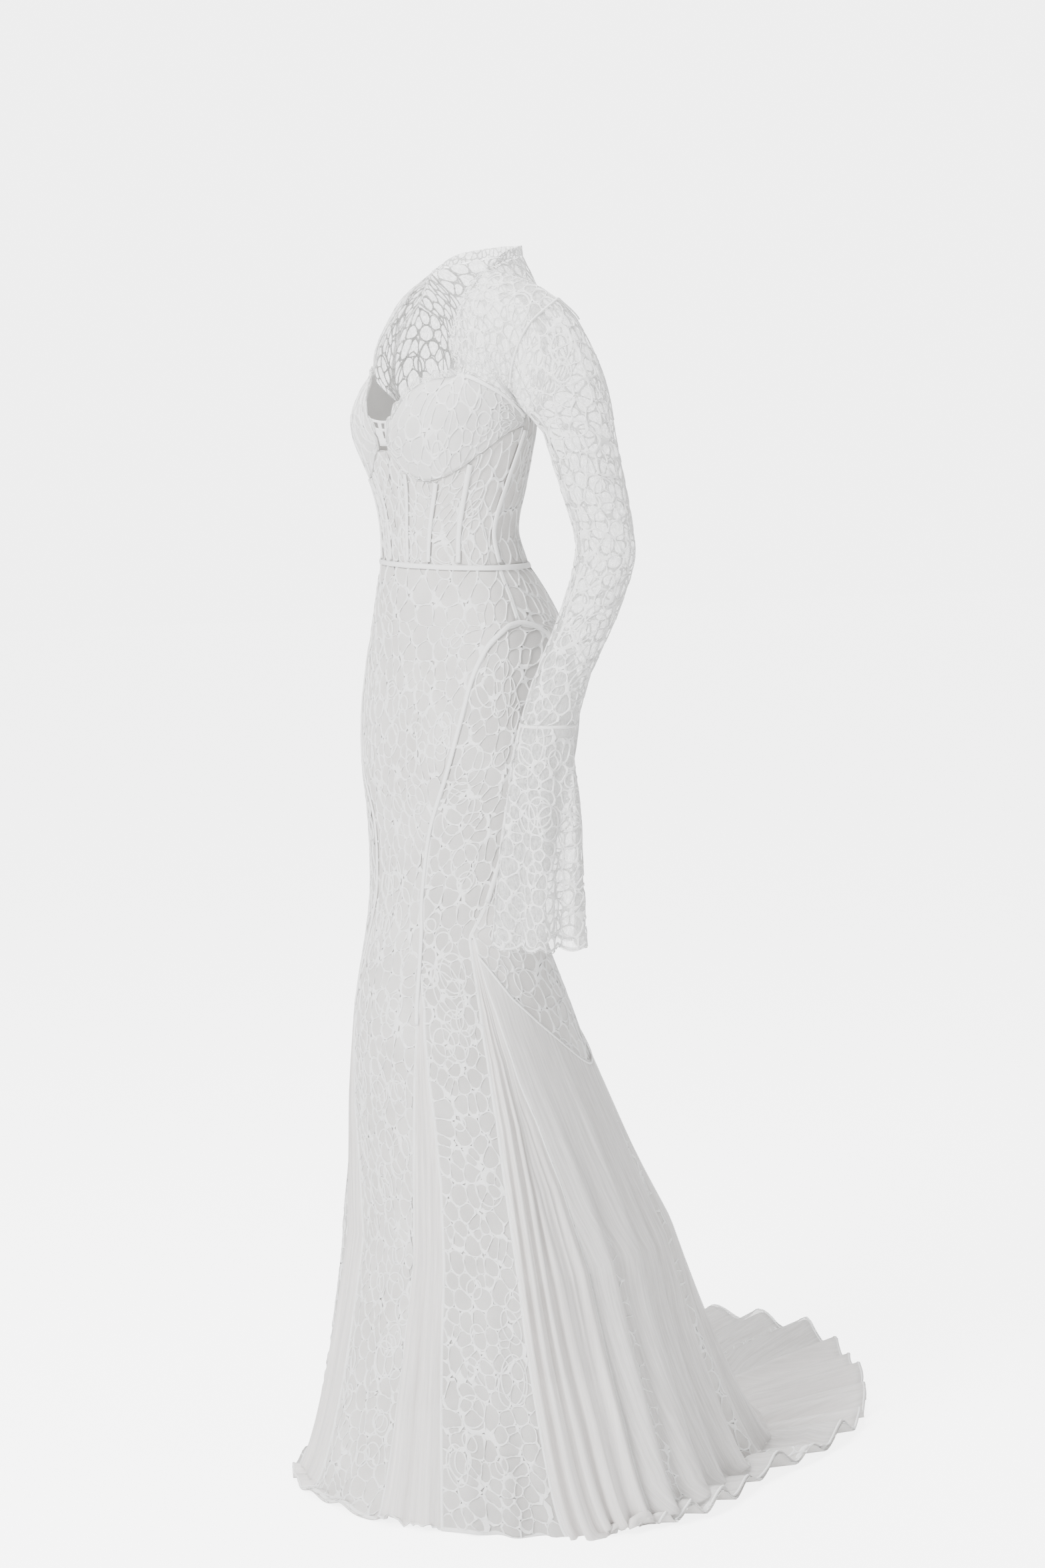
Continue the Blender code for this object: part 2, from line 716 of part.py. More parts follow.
def collar(u, v):
    side = 1.0 if u < 0.5 else -1.0
    point = follow(NAPE_EDGE, 2.0 * u if u < 0.5 else 2.0 - 2.0 * u)
    rise = 0.001 + COLLAR_HEIGHT * v * soft_step(4.0 * min(u, 1.0 - u) + 0.25)
    lean = Vector((0.10 * side, -0.20, 1.0)).normalized()
    return Vector((point.x * side, point.y, point.z)) + lean * rise


wall("stand_collar", 12, 1, collar, SHEER_WALL, NET_WHITE)


# Sleeves and bell cuffs

def armhole(turn):
    """Armhole of the left side: 0 at the front, 90 at the shoulder, 180 behind, 270 below."""
    turn = (turn + 90.0) % 360.0
    if turn <= 180.0:
        return follow(armhole_front, turn / 180.0)
    return follow(armhole_back, 2.0 - turn / 180.0)


def ring(table, turn, v, wave=0.0):
    """Point of a tube round a line of rows, from its last row at v = 0 up to its first."""
    rows = table[::-1]
    here = follow(rows, v)
    reach = here[3] + wave
    return Vector((here[0] + reach * sin(radians(turn)), here[1] - reach * cos(radians(turn)),
                   here[2]))


def sleeve_place(table, first, last):
    def place(u, v):
        turn = first + (last - first) * u
        arm = 1.0 - SLEEVE_HEAD_SHARE
        if v <= arm:
            return ring(table, turn, v / arm)
        t = (v - arm) / SLEEVE_HEAD_SHARE
        low, high = ring(table, turn, 1.0), armhole(turn)
        share = 0.5 + 0.5 * sin(radians(turn))
        bulge = yoke_outward(high) * SLEEVE_HEAD * sin(pi * t) * share
        t = t * (1.0 - ARMHOLE_GAP / (high - low).length)
        return low + (high - low) * t + bulge
    return place


def bell_place(table, first, last):
    def place(u, v):
        turn = first + (last - first) * u
        flare = (1.0 - v) ** 1.3
        wave = BELL_WAVE * flare * cos(radians(turn * BELL_WAVES))
        point = ring(table, turn, v, wave)
        tooth = abs(sin(radians(turn * BELL_SCALLOPS / 2.0)))
        point.z -= BELL_SCALLOP * tooth * max(0.0, 1.0 - 3.0 * v)
        return point
    return place


for side, sleeve_rows, bell_rows in (("left", LEFT_SLEEVE, LEFT_BELL),
                                     ("right", RIGHT_SLEEVE, RIGHT_BELL)):
    for half, first, last in (("outer", 0.0, 180.0), ("inner", 180.0, 360.0)):
        sleeve = sleeve_place(sleeve_rows, first, last)
        bell = bell_place(bell_rows, first, last)
        if side == "right":
            sleeve, bell = mirrored(sleeve), mirrored(bell)
        wall("sleeve_" + half + "_" + side, 8, 10, sleeve, SHEER_WALL, NET_WHITE)
        wall("bell_" + half + "_" + side, 18, 3, bell, SHEER_WALL, NET_WHITE)


# Trims laid on the panels: bone casings, piping and the lace edging

def strip(name, columns, centre, surface, direction, lift=TRIM_LIFT):
    """Narrow band along centre(u), given as angle and height on a surface."""
    def place(u, v):
        low, high = max(u - 0.004, 0.0), min(u + 0.004, 1.0)
        angle, height = centre(u)
        along = (surface(*centre(high)) - surface(*centre(low))).normalized()
        out = direction(angle, height)
        side = out.cross(along).normalized()
        return surface(angle, height) + side * (v - 0.5) * TRIM_WIDTH + out * (lift + TRIM_WALL)

    wall(name, columns, 1, place, TRIM_WALL, IVORY,
         outward=lambda u, v: direction(*centre(u)))


def corset_normal(angle, height):
    return normal_of(smooth_corset, angle, height)


def bone_line(column, sign):
    def centre(u):
        height = 1.220 + (cup_bottom(corset_seam(column, 1.33)) - 0.004 - 1.220) * u
        return sign * corset_seam(column, height), height
    return centre


def side_line(sign):
    def centre(u):
        height = 1.220 + (1.384 - 1.220) * u
        return sign * corset_seam(4, height), height
    return centre


for side, sign in (("left", 1.0), ("right", -1.0)):
    for number, column in enumerate((1, 2, 3)):
        strip("bone_" + str(number + 1) + "_" + side, 7, bone_line(column, sign),
              smooth_corset, corset_normal)
    strip("bone_side_" + side, 8, side_line(sign), smooth_corset, corset_normal, 0.0017)


def waist_band(u, v):
    angle = -179.6 + 359.2 * u
    height = WAIST + TRIM_WIDTH * (v - 0.5)
    table = SKIRT_SECTIONS if height < WAIST else CORSET_SECTIONS
    point = section_point(table, angle, height)
    return point + Vector((point.x, point.y, 0.0)).normalized() * (TRIM_LIFT + TRIM_WALL + 0.0006)


wall("waist_piping", 44, 2, waist_band, TRIM_WALL, IVORY)


HIP_LINE_FRONT = (0.640, 0.700, 0.752, 0.800, 0.880, 0.953, 1.020, 1.075, 1.112, 1.132)
HIP_LINE_BACK = (1.132, 1.112, 1.075, 1.020, 0.953, 0.880, 0.800)


def hip_line(sign):
    """The arched seam from above the front godet, over the hip and down behind it."""
    points = [(seam(1, level), level) for level in HIP_LINE_FRONT]
    points.append((97.0, 1.146))
    points += [(seam(4, level), level) for level in HIP_LINE_BACK]

    def centre(u):
        angle, level = follow(points, u)
        return sign * angle, level
    return centre


for side, sign in (("left", 1.0), ("right", -1.0)):
    strip("hip_piping_" + side, 36, hip_line(sign), skirt, skirt_normal)


def lash(edge, teeth, into):
    """Lace edging that stands on an edge and ends in small pointed teeth."""
    def place(u, v):
        reach = LASH * (0.45 + 0.55 * abs(sin(pi * teeth * u)))
        return edge(u) + into(u) * (0.0010 + reach * v)
    return place


def cup_edge(u):
    angle = 6.0 + (YOKE_ANGLE - 3.0 - 6.0) * u
    return smooth_corset(angle, cup_top(angle)) + Vector((0.0, 0.0010, 0.0))


def cup_into(u):
    return Vector((-0.5 * (1.0 - u), -0.10, 1.0)).normalized()


def neck_line(u):
    return follow(neck_edge, 0.05 + 0.93 * u)


def neck_into(u):
    ahead = neck_line(min(u + 0.01, 1.0)) - neck_line(max(u - 0.01, 0.0))
    return yoke_outward(neck_line(u)).cross(ahead).normalized()


for name, columns, place in (("cup_edging", 27, lash(cup_edge, 9, cup_into)),
                             ("neck_edging", 30, lash(neck_line, 10, neck_into))):
    wall(name + "_left", columns, 1, place, TRIM_WALL, IVORY)
    wall(name + "_right", columns, 1, mirrored(place), TRIM_WALL, IVORY)


# Piping over the armhole seams and under the yoke

def armhole_piping(u, v):
    turn = -30.0 + 160.0 * u
    point = armhole(turn)
    ahead = (armhole(turn + 1.0) - armhole(turn - 1.0)).normalized()
    out = yoke_outward(point)
    side = ahead.cross(out).normalized()
    return point + side * (0.5 - v) * 0.003 + out * (TRIM_LIFT + TRIM_WALL + 0.0008)


def yoke_piping(u, v):
    angle = YOKE_ANGLE + 1.0 + (UNDERARM_ANGLE - 3.0 - YOKE_ANGLE) * u
    point = smooth_corset(angle, cup_top(angle) - 0.0015 - 0.005 * (1.0 - v))
    return point + corset_normal(angle, point.z) * (TRIM_LIFT + TRIM_WALL)


for name, columns, place in (("armhole_piping", 15, armhole_piping),
                             ("yoke_piping", 12, yoke_piping)):
    wall(name + "_left", columns, 1, place, TRIM_WALL, IVORY)
    wall(name + "_right", columns, 1, mirrored(place), TRIM_WALL, IVORY)
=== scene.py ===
from math import cos, exp, pi, radians, sin, sqrt

import bmesh
import bpy
import numpy as np
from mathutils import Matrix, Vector


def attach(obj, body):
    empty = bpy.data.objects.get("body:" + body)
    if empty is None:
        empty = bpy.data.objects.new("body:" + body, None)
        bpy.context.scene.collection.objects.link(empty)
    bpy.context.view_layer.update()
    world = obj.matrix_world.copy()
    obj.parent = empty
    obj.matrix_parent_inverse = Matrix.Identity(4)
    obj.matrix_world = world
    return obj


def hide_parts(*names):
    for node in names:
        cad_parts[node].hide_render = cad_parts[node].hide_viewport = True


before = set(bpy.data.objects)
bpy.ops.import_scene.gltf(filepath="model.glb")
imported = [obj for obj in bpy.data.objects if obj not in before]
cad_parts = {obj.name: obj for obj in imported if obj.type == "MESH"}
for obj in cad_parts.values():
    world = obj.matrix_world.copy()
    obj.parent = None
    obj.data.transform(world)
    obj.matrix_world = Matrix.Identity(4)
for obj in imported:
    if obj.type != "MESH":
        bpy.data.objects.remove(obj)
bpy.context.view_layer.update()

# Driving dimensions
HOLD_HEIGHT = 1.500          # shoulder line above the floor
WAIST = 1.214                # waist seam above the floor
FLARE = 0.335                # level from which the skirt sweeps out
LACE_WALL = 0.0018           # corset lace mounted on its lining
SKIRT_WALL = 0.0012          # skirt lace on its lining, and the gathered chiffon
SHEER_WALL = 0.0012          # lace on fine net
CUP_WALL = 0.0030            # padded cup
TRIM_WALL = 0.0012           # piping, bone casing and lace edging
TRIM_LIFT = 0.0010           # trims clear of the panel below them
TRIM_WIDTH = 0.0065          # bone casings and piping

# The skirt's sections: height, half width, depth in front and behind the axis
SKIRT_SECTIONS = (
    (0.335, 0.228, 0.096, 0.294),
    (0.440, 0.200, 0.102, 0.246),
    (0.520, 0.181, 0.108, 0.210),
    (0.600, 0.164, 0.111, 0.173),
    (0.660, 0.155, 0.106, 0.148),
    (0.752, 0.153, 0.085, 0.106),
    (0.800, 0.157, 0.078, 0.107),
    (0.880, 0.169, 0.076, 0.126),
    (0.953, 0.178, 0.083, 0.147),
    (1.020, 0.178, 0.080, 0.160),
    (1.075, 0.171, 0.073, 0.158),
    (1.128, 0.155, 0.072, 0.145),
    (1.180, 0.133, 0.073, 0.118),
    (1.214, 0.121, 0.071, 0.091),
)

# The corset's sections, the same way
CORSET_SECTIONS = (
    (1.214, 0.121, 0.071, 0.091),
    (1.260, 0.116, 0.074, 0.075),
    (1.318, 0.130, 0.079, 0.084),
    (1.368, 0.146, 0.085, 0.090),
    (1.400, 0.152, 0.088, 0.093),
    (1.437, 0.151, 0.080, 0.097),
    (1.460, 0.149, 0.060, 0.100),
)

# The hem on the floor: angle round the gown from the centre front, X and Y
HEM = (
    (0, -0.020, -0.172),
    (14, 0.065, -0.152),
    (31, 0.142, -0.095),
    (50, 0.190, -0.035),
    (74, 0.240, 0.045),
    (90, 0.264, 0.105),
    (105, 0.277, 0.168),
    (120, 0.268, 0.248),
    (135, 0.200, 0.365),
    (150, 0.160, 0.480),
    (165, 0.080, 0.610),
    (180, -0.050, 0.710),
    (195, -0.210, 0.780),
    (210, -0.370, 0.780),
    (225, -0.455, 0.690),
    (240, -0.450, 0.530),
    (255, -0.395, 0.350),
    (270, -0.330, 0.190),
    (286, -0.285, 0.050),
    (310, -0.235, -0.070),
    (329, -0.170, -0.145),
    (346, -0.095, -0.175),
)

# Seams of the skirt's left half: level, and the angle of the front panel's edge, of the side
# panel's front and back edges, of the back panel's front edge and of the train godet
SKIRT_SEAMS = (
    (0.000, 14.0, 31.0, 74.0, 106.0, 162.0),
    (0.067, 14.0, 31.0, 74.0, 106.0, 162.0),
    (0.134, 14.5, 31.0, 74.0, 106.0, 163.0),
    (0.201, 15.0, 31.0, 74.0, 106.0, 164.0),
    (0.268, 16.0, 31.5, 73.5, 105.0, 165.0),
    (0.335, 17.5, 33.0, 73.5, 104.0, 166.0),
    (0.440, 21.5, 36.5, 73.5, 101.0, 169.0),
    (0.520, 26.0, 37.5, 73.5, 96.0, 172.0),
    (0.600, 30.0, 36.5, 72.0, 88.0, 175.0),
    (0.660, 31.5, 34.5, 69.0, 79.0, 179.4),
    (0.700, 28.5, 29.5, 65.0, 71.0, 180.0),
    (0.706, 28.0, 28.0, 64.0, 70.0, 180.0),
    (0.752, 25.0, 25.0, 58.0, 61.0, 180.0),
    (0.758, 24.8, 24.8, 58.5, 58.5, 180.0),
    (0.800, 22.0, 22.0, 68.0, 68.0, 180.0),
    (0.880, 25.0, 25.0, 80.0, 80.0, 180.0),
    (0.953, 37.0, 37.0, 97.0, 97.0, 180.0),
    (1.020, 45.0, 45.0, 108.0, 108.0, 180.0),
    (1.075, 52.0, 52.0, 115.0, 115.0, 180.0),
    (1.115, 65.0, 65.0, 118.0, 118.0, 180.0),
    (1.138, 82.0, 82.0, 112.0, 112.0, 180.0),
    (1.144, 96.5, 96.5, 97.5, 97.5, 180.0),
    (1.150, 97.0, 97.0, 97.0, 97.0, 180.0),
    (1.180, 96.0, 96.0, 96.0, 96.0, 180.0),
    (1.214, 92.0, 92.0, 92.0, 92.0, 180.0),
)
SIDE_PANEL_TOP = 1.144
GODET_FRONT_TOP = 0.700
GODET_SIDE_TOP = 0.752
TRAIN_GODET_TOP = 0.660

# Folds that stand out of the skirt: angle at the hem, half width in degrees, height, top level
FOLDS = (
    (353.0, 3.4, 0.007, 0.45),
    (4.2, 3.0, 0.009, 0.40),
    (18.2, 2.6, 0.013, 0.60),
    (26.8, 2.4, 0.011, 0.62),
    (41.7, 4.4, 0.010, 0.42),
    (56.0, 4.8, 0.013, 0.50),
    (70.3, 3.0, 0.007, 0.36),
    (77.2, 2.1, 0.016, 0.70),
    (83.6, 2.2, 0.021, 0.72),
    (90.0, 2.1, 0.016, 0.70),
    (96.4, 2.2, 0.023, 0.70),
    (102.8, 2.0, 0.017, 0.66),
    (110.7, 3.1, 0.022, 0.62),
    (120.0, 3.3, 0.027, 0.58),
    (129.3, 3.0, 0.021, 0.60),
    (138.7, 3.3, 0.030, 0.55),
    (148.0, 3.0, 0.023, 0.60),
    (157.3, 3.1, 0.028, 0.58),
    (165.0, 2.1, 0.024, 0.62),
    (171.0, 2.2, 0.031, 0.64),
    (177.0, 2.0, 0.024, 0.64),
    (183.0, 2.2, 0.032, 0.62),
    (189.0, 2.0, 0.025, 0.62),
    (195.0, 2.1, 0.027, 0.60),
    (202.7, 3.2, 0.029, 0.58),
    (212.0, 3.0, 0.022, 0.55),
    (221.3, 3.3, 0.027, 0.58),
    (230.7, 3.0, 0.021, 0.55),
    (240.0, 3.2, 0.025, 0.60),
    (249.3, 3.0, 0.019, 0.60),
    (257.2, 2.1, 0.018, 0.68),
    (263.6, 2.2, 0.021, 0.70),
    (270.0, 2.0, 0.016, 0.72),
    (276.4, 2.2, 0.020, 0.70),
    (282.8, 2.0, 0.015, 0.68),
    (289.7, 3.0, 0.007, 0.40),
    (304.0, 4.8, 0.012, 0.48),
    (318.3, 4.4, 0.010, 0.45),
    (333.2, 2.4, 0.012, 0.60),
    (341.8, 2.6, 0.010, 0.60),
)

# Cups: angle and height of the fullest point, and how far each stands out
CUP_ANGLE = 30.0
CUP_HEIGHT = 1.382
CUP_DEPTH = 0.021
CUP_SPREAD = 24.0
CUP_RISE = 0.042

# Left cup: angle from the centre front, lower edge, upper edge
CUP_EDGES = (
    (5.0, 1.3580, 1.3720),
    (14.0, 1.3370, 1.4090),
    (22.0, 1.3255, 1.4370),
    (31.0, 1.3210, 1.4460),
    (40.0, 1.3240, 1.4475),
    (49.0, 1.3320, 1.4530),
    (58.0, 1.3430, 1.4500),
    (72.0, 1.3620, 1.4400),
    (86.0, 1.3790, 1.4270),
    (105.0, 1.3900, 1.4020),
)
YOKE_ANGLE = 51.0            # where the yoke's neck edge meets the cup

# Corset seams of the left half: height, then angle of each bone line and of the side seam
CORSET_SEAMS = (
    (1.214, 10.0, 29.0, 54.0, 92.0),
    (1.260, 12.0, 33.0, 57.0, 88.0),
    (1.318, 15.5, 38.0, 60.0, 95.0),
    (1.368, 17.0, 40.0, 62.0, 102.0),
    (1.385, 17.0, 40.0, 62.0, 105.0),
    (1.402, 17.0, 40.0, 62.0, 105.0),
)

# Neck edge of the left yoke from the cup to the nape: X, Y, height
NECK_EDGE = (
    (0.097, -0.045, 1.490),
    (0.085, -0.030, 1.524),
    (0.077, -0.010, 1.556),
    (0.068, 0.016, 1.580),
)
NAPE_EDGE = (
    (0.068, 0.016, 1.580),
    (0.060, 0.045, 1.590),
    (0.042, 0.078, 1.597),
    (0.022, 0.096, 1.600),
    (0.000, 0.102, 1.600),
)
SHOULDER_LINE = (
    (0.068, 0.016, 1.580),
    (0.100, 0.028, 1.573),
    (0.135, 0.042, 1.563),
    (0.172, 0.055, 1.543),
)
ARMHOLE_FRONT = (
    (0.146, 0.006, 1.430),
    (0.150, 0.006, 1.468),
    (0.160, 0.021, 1.510),
    (0.172, 0.055, 1.543),
)
ARMHOLE_BACK = (
    (0.150, 0.068, 1.432),
    (0.157, 0.096, 1.472),
    (0.166, 0.090, 1.514),
    (0.172, 0.055, 1.543),
)
UNDERARM_ANGLE = 105.0
BACK_TOP = 1.402
BACK_SPINE = (
    (0.000, 0.102, 1.440),
    (0.000, 0.116, 1.490),
    (0.000, 0.120, 1.545),
    (0.000, 0.102, 1.600),
)
COLLAR_HEIGHT = 0.013

# Sleeves down their middle: distance from the gown's middle, Y, height, radius
LEFT_SLEEVE = (
    (0.201, 0.070, 1.380, 0.0430),
    (0.213, 0.081, 1.318, 0.0400),
    (0.226, 0.089, 1.262, 0.0360),
    (0.230, 0.088, 1.225, 0.0360),
    (0.232, 0.066, 1.165, 0.0350),
    (0.234, 0.027, 1.090, 0.0335),
    (0.236, 0.004, 1.030, 0.0340),
)
LEFT_BELL = (
    (0.236, 0.004, 1.030, 0.0340),
    (0.238, -0.004, 0.990, 0.0380),
    (0.243, -0.008, 0.930, 0.0450),
    (0.246, -0.013, 0.850, 0.0500),
    (0.248, -0.016, 0.765, 0.0540),
)
RIGHT_SLEEVE = (
    (0.205, 0.082, 1.380, 0.0430),
    (0.221, 0.100, 1.318, 0.0400),
    (0.232, 0.112, 1.262, 0.0370),
    (0.236, 0.116, 1.225, 0.0365),
    (0.237, 0.118, 1.165, 0.0350),
    (0.237, 0.116, 1.090, 0.0335),
    (0.237, 0.113, 1.030, 0.0340),
)
RIGHT_BELL = (
    (0.237, 0.113, 1.030, 0.0340),
    (0.238, 0.112, 0.990, 0.0380),
    (0.241, 0.111, 0.930, 0.0450),
    (0.246, 0.110, 0.850, 0.0500),
    (0.250, 0.108, 0.765, 0.0540),
)
SLEEVE_HEAD = 0.011          # roundness of the sleeve head
SLEEVE_HEAD_SHARE = 0.30     # of the sleeve's length, from the armhole down
ARMHOLE_GAP = 0.0012         # where the sleeve meets the yoke at a slant
BELL_WAVES = 6
BELL_WAVE = 0.011
BELL_SCALLOPS = 12
BELL_SCALLOP = 0.007
LASH = 0.010                 # how far the lace edging stands off its edge


# Tables and curves

def read(table, x, column):
    """Smooth value of a column at x, from rows sorted by their first number."""
    count = len(table)
    if x <= table[0][0]:
        return table[0][column]
    if x >= table[-1][0]:
        return table[-1][column]
    row = 0
    while table[row + 1][0] < x:
        row += 1

    def slope(at):
        low = max(at - 1, 0)
        high = min(at + 1, count - 1)
        return (table[high][column] - table[low][column]) / (table[high][0] - table[low][0])

    span = table[row + 1][0] - table[row][0]
    t = (x - table[row][0]) / span
    start, end = table[row][column], table[row + 1][column]
    rise, fall = slope(row) * span, slope(row + 1) * span
    return ((2 * t ** 3 - 3 * t ** 2 + 1) * start + (t ** 3 - 2 * t ** 2 + t) * rise
            + (3 * t ** 2 - 2 * t ** 3) * end + (t ** 3 - t ** 2) * fall)


def read_straight(table, x, column):
    """Straight-line value of a column at x."""
    if x <= table[0][0]:
        return table[0][column]
    for low, high in zip(table, table[1:]):
        if x <= high[0]:
            t = (x - low[0]) / (high[0] - low[0])
            return low[column] + t * (high[column] - low[column])
    return table[-1][column]


def follow(points, t):
    """Point at t from 0 to 1 along a smooth curve through the points."""
    last = len(points) - 1
    table = [(i / last, *point) for i, point in enumerate(points)]
    return Vector([read(table, t, k + 1) for k in range(len(points[0]))])


def soft_step(t):
    t = min(max(t, 0.0), 1.0)
    return t * t * (3.0 - 2.0 * t)


# The gown's two main surfaces

def section_point(table, angle, height):
    """Point of a horizontal section; the angle runs from the centre front towards +X."""
    half = read(table, height, 1)
    depth = read(table, height, 2) if cos(radians(angle)) > 0 else read(table, height, 3)
    return Vector((half * sin(radians(angle)), -depth * cos(radians(angle)), height))


def turn_between(a, b):
    return (a - b + 180.0) % 360.0 - 180.0


HEM_RING = (tuple((angle - 360, x, y) for angle, x, y in HEM) + HEM
            + tuple((angle + 360, x, y) for angle, x, y in HEM))


def hem_point(angle):
    angle = angle % 360.0
    return Vector((read(HEM_RING, angle, 1), read(HEM_RING, angle, 2), 0.0))


def sweep(angle, level):
    """Skirt below the flare: it falls, turns outwards and runs along the floor to the hem."""
    start = section_point(SKIRT_SECTIONS, angle, FLARE)
    run = hem_point(angle) - Vector((start.x, start.y, 0.0))
    reach = run.length
    fall = reach / (1.0 + reach / 0.35)
    fall_length = sqrt(fall ** 2 + FLARE ** 2)
    turn_share = fall_length / (fall_length + reach - fall)
    share = (FLARE - level) / FLARE
    if share < turn_share:
        k = share / turn_share
        out, height = fall * k, FLARE * (1.0 - k) ** 1.5
    else:
        k = (share - turn_share) / (1.0 - turn_share)
        out, height = fall + (reach - fall) * k, 0.0
    return Vector((start.x, start.y, height)) + run * (out / reach)


def smooth_skirt(angle, level):
    if level >= FLARE:
        return section_point(SKIRT_SECTIONS, angle, level)
    return sweep(angle, level)


def smooth_corset(angle, height):
    point = section_point(CORSET_SECTIONS, angle, height)
    side = min(abs(turn_between(angle, CUP_ANGLE)), abs(turn_between(angle, -CUP_ANGLE)))
    bulge = CUP_DEPTH * exp(-(side / CUP_SPREAD) ** 2 / 2
                            - ((height - CUP_HEIGHT) / CUP_RISE) ** 2 / 2)
    outward = Vector((point.x, point.y, 0.0)).normalized()
    return point + outward * bulge


def normal_of(surface, a, b, step_a=0.5, step_b=0.003):
    along = surface(a + step_a, b) - surface(a - step_a, b)
    up = surface(a, b + step_b) - surface(a, max(b - step_b, 0.0))
    return along.cross(up).normalized()


def at_hem(angle, level):
    """Angle at the hem that a point comes down to: the folds run between the seams."""
    turned = turn_between(angle, 0.0)
    side = 1.0 if turned >= 0.0 else -1.0
    edges = [(0.0, 0.0)]
    for column in range(1, 6):
        here = read_straight(SKIRT_SEAMS, level, column)
        edges.append((max(here, edges[-1][0] + 0.0001), SKIRT_SEAMS[0][column]))
    edges.append((max(180.0, edges[-1][0] + 0.0001), 180.0))
    return side * read_straight(edges, abs(turned), 1)


def fold_height(angle, level):
    """How far the folds stand out of the skirt at an angle and level."""
    height = 0.0
    hem_angle = at_hem(angle, level) if level < 0.75 else angle
    for middle, half_width, size, top in FOLDS:
        if level < top:
            away = turn_between(hem_angle, middle) / half_width
            height += size * exp(-away * away) * soft_step((top - level) / top)
    return height


def skirt_normal(angle, level):
    """Outward direction of the skirt without its folds."""
    return normal_of(smooth_skirt, angle, level, step_b=0.020)


def skirt(angle, level, lift=0.0):
    """Outer side of the skirt; lift moves the point out of it."""
    base = smooth_skirt(angle, level)
    rise = SKIRT_WALL * soft_step((FLARE - level) / FLARE)
    out = skirt_normal(angle, level) * (fold_height(angle, level) + lift)
    return base + out + Vector((0.0, 0.0, rise))


# Looks of the cloth, and how a piece of it, its lace and its cords are made

ROOT = "root"
cloths = {}                  # its object
grids = {}                   # its points, outward directions, running lengths and slot


def node_tree(name):
    made = bpy.data.materials.new(name)
    made.use_nodes = True
    return made, made.node_tree, made.node_tree.nodes["Principled BSDF"]


def thread_group():
    """Fine uneven threads: a height and a tone that vary over the cloth."""
    group = bpy.data.node_groups.new("threads", "ShaderNodeTree")
    side = group.interface
    side.new_socket("Vector", in_out="INPUT", socket_type="NodeSocketVector")
    side.new_socket("Scale", in_out="INPUT", socket_type="NodeSocketFloat")
    side.new_socket("Height", in_out="OUTPUT", socket_type="NodeSocketFloat")
    side.new_socket("Tone", in_out="OUTPUT", socket_type="NodeSocketFloat")
    nodes, link = group.nodes, group.links.new
    into, out = nodes.new("NodeGroupInput"), nodes.new("NodeGroupOutput")
    fine, broad, both = (nodes.new("ShaderNodeTexNoise"), nodes.new("ShaderNodeTexNoise"),
                         nodes.new("ShaderNodeMath"))
    link(into.outputs["Vector"], fine.inputs["Vector"])
    link(into.outputs["Scale"], fine.inputs["Scale"])
    fine.inputs["Detail"].default_value = 6.0
    fine.inputs["Roughness"].default_value = 0.7
    link(into.outputs["Vector"], broad.inputs["Vector"])
    broad.inputs["Scale"].default_value = 14.0
    broad.inputs["Detail"].default_value = 3.0
    both.operation = "ADD"
    link(fine.outputs["Fac"], both.inputs[0])
    link(broad.outputs["Fac"], both.inputs[1])
    link(fine.outputs["Fac"], out.inputs["Height"])
    link(both.outputs[0], out.inputs["Tone"])
    return group


threads = thread_group()


def fabric(name, light, dark, roughness, scale, bump, stretch=(1.0, 1.0, 1.0), sheen=0.25,
           cover=None, subsurface=0.0):
    """Cloth whose tone and relief follow its threads. cover is the least and the greatest
    share of light that the cloth stops, for a see-through one."""
    made, tree, shader = node_tree(name)
    nodes, link = tree.nodes, tree.links.new
    place, turn = nodes.new("ShaderNodeTexCoord"), nodes.new("ShaderNodeMapping")
    turn.inputs["Scale"].default_value = stretch
    link(place.outputs["UV" if cover else "Object"], turn.inputs["Vector"])
    weave = nodes.new("ShaderNodeGroup")
    weave.node_tree = threads
    weave.inputs["Scale"].default_value = scale
    link(turn.outputs["Vector"], weave.inputs["Vector"])
    ramp = nodes.new("ShaderNodeValToRGB")
    ramp.color_ramp.elements[0].position = 0.38
    ramp.color_ramp.elements[1].position = 0.62
    ramp.color_ramp.elements[0].color = (*dark, 1.0)
    ramp.color_ramp.elements[1].color = (*light, 1.0)
    half = nodes.new("ShaderNodeMath")
    half.operation = "MULTIPLY"
    half.inputs[1].default_value = 0.5
    link(weave.outputs["Tone"], half.inputs[0])
    link(half.outputs[0], ramp.inputs["Fac"])
    link(ramp.outputs["Color"], shader.inputs["Base Color"])
    relief = nodes.new("ShaderNodeBump")
    relief.inputs["Strength"].default_value = bump
    relief.inputs["Distance"].default_value = 0.0006
    link(weave.outputs["Height"], relief.inputs["Height"])
    link(relief.outputs["Normal"], shader.inputs["Normal"])
    shader.inputs["Roughness"].default_value = roughness
    shader.inputs["Sheen Weight"].default_value = sheen
    shader.inputs["Specular IOR Level"].default_value = 0.25
    if subsurface:
        shader.inputs["Subsurface Weight"].default_value = subsurface
        shader.inputs["Subsurface Radius"].default_value = (0.01, 0.01, 0.01)
    if cover:
        spread = nodes.new("ShaderNodeMapRange")
        spread.inputs["From Min"].default_value = 0.35
        spread.inputs["From Max"].default_value = 0.65
        spread.inputs["To Min"].default_value = cover[0]
        spread.inputs["To Max"].default_value = cover[1]
        link(weave.outputs["Height"], spread.inputs["Value"])
        link(spread.outputs["Result"], shader.inputs["Alpha"])
    return made


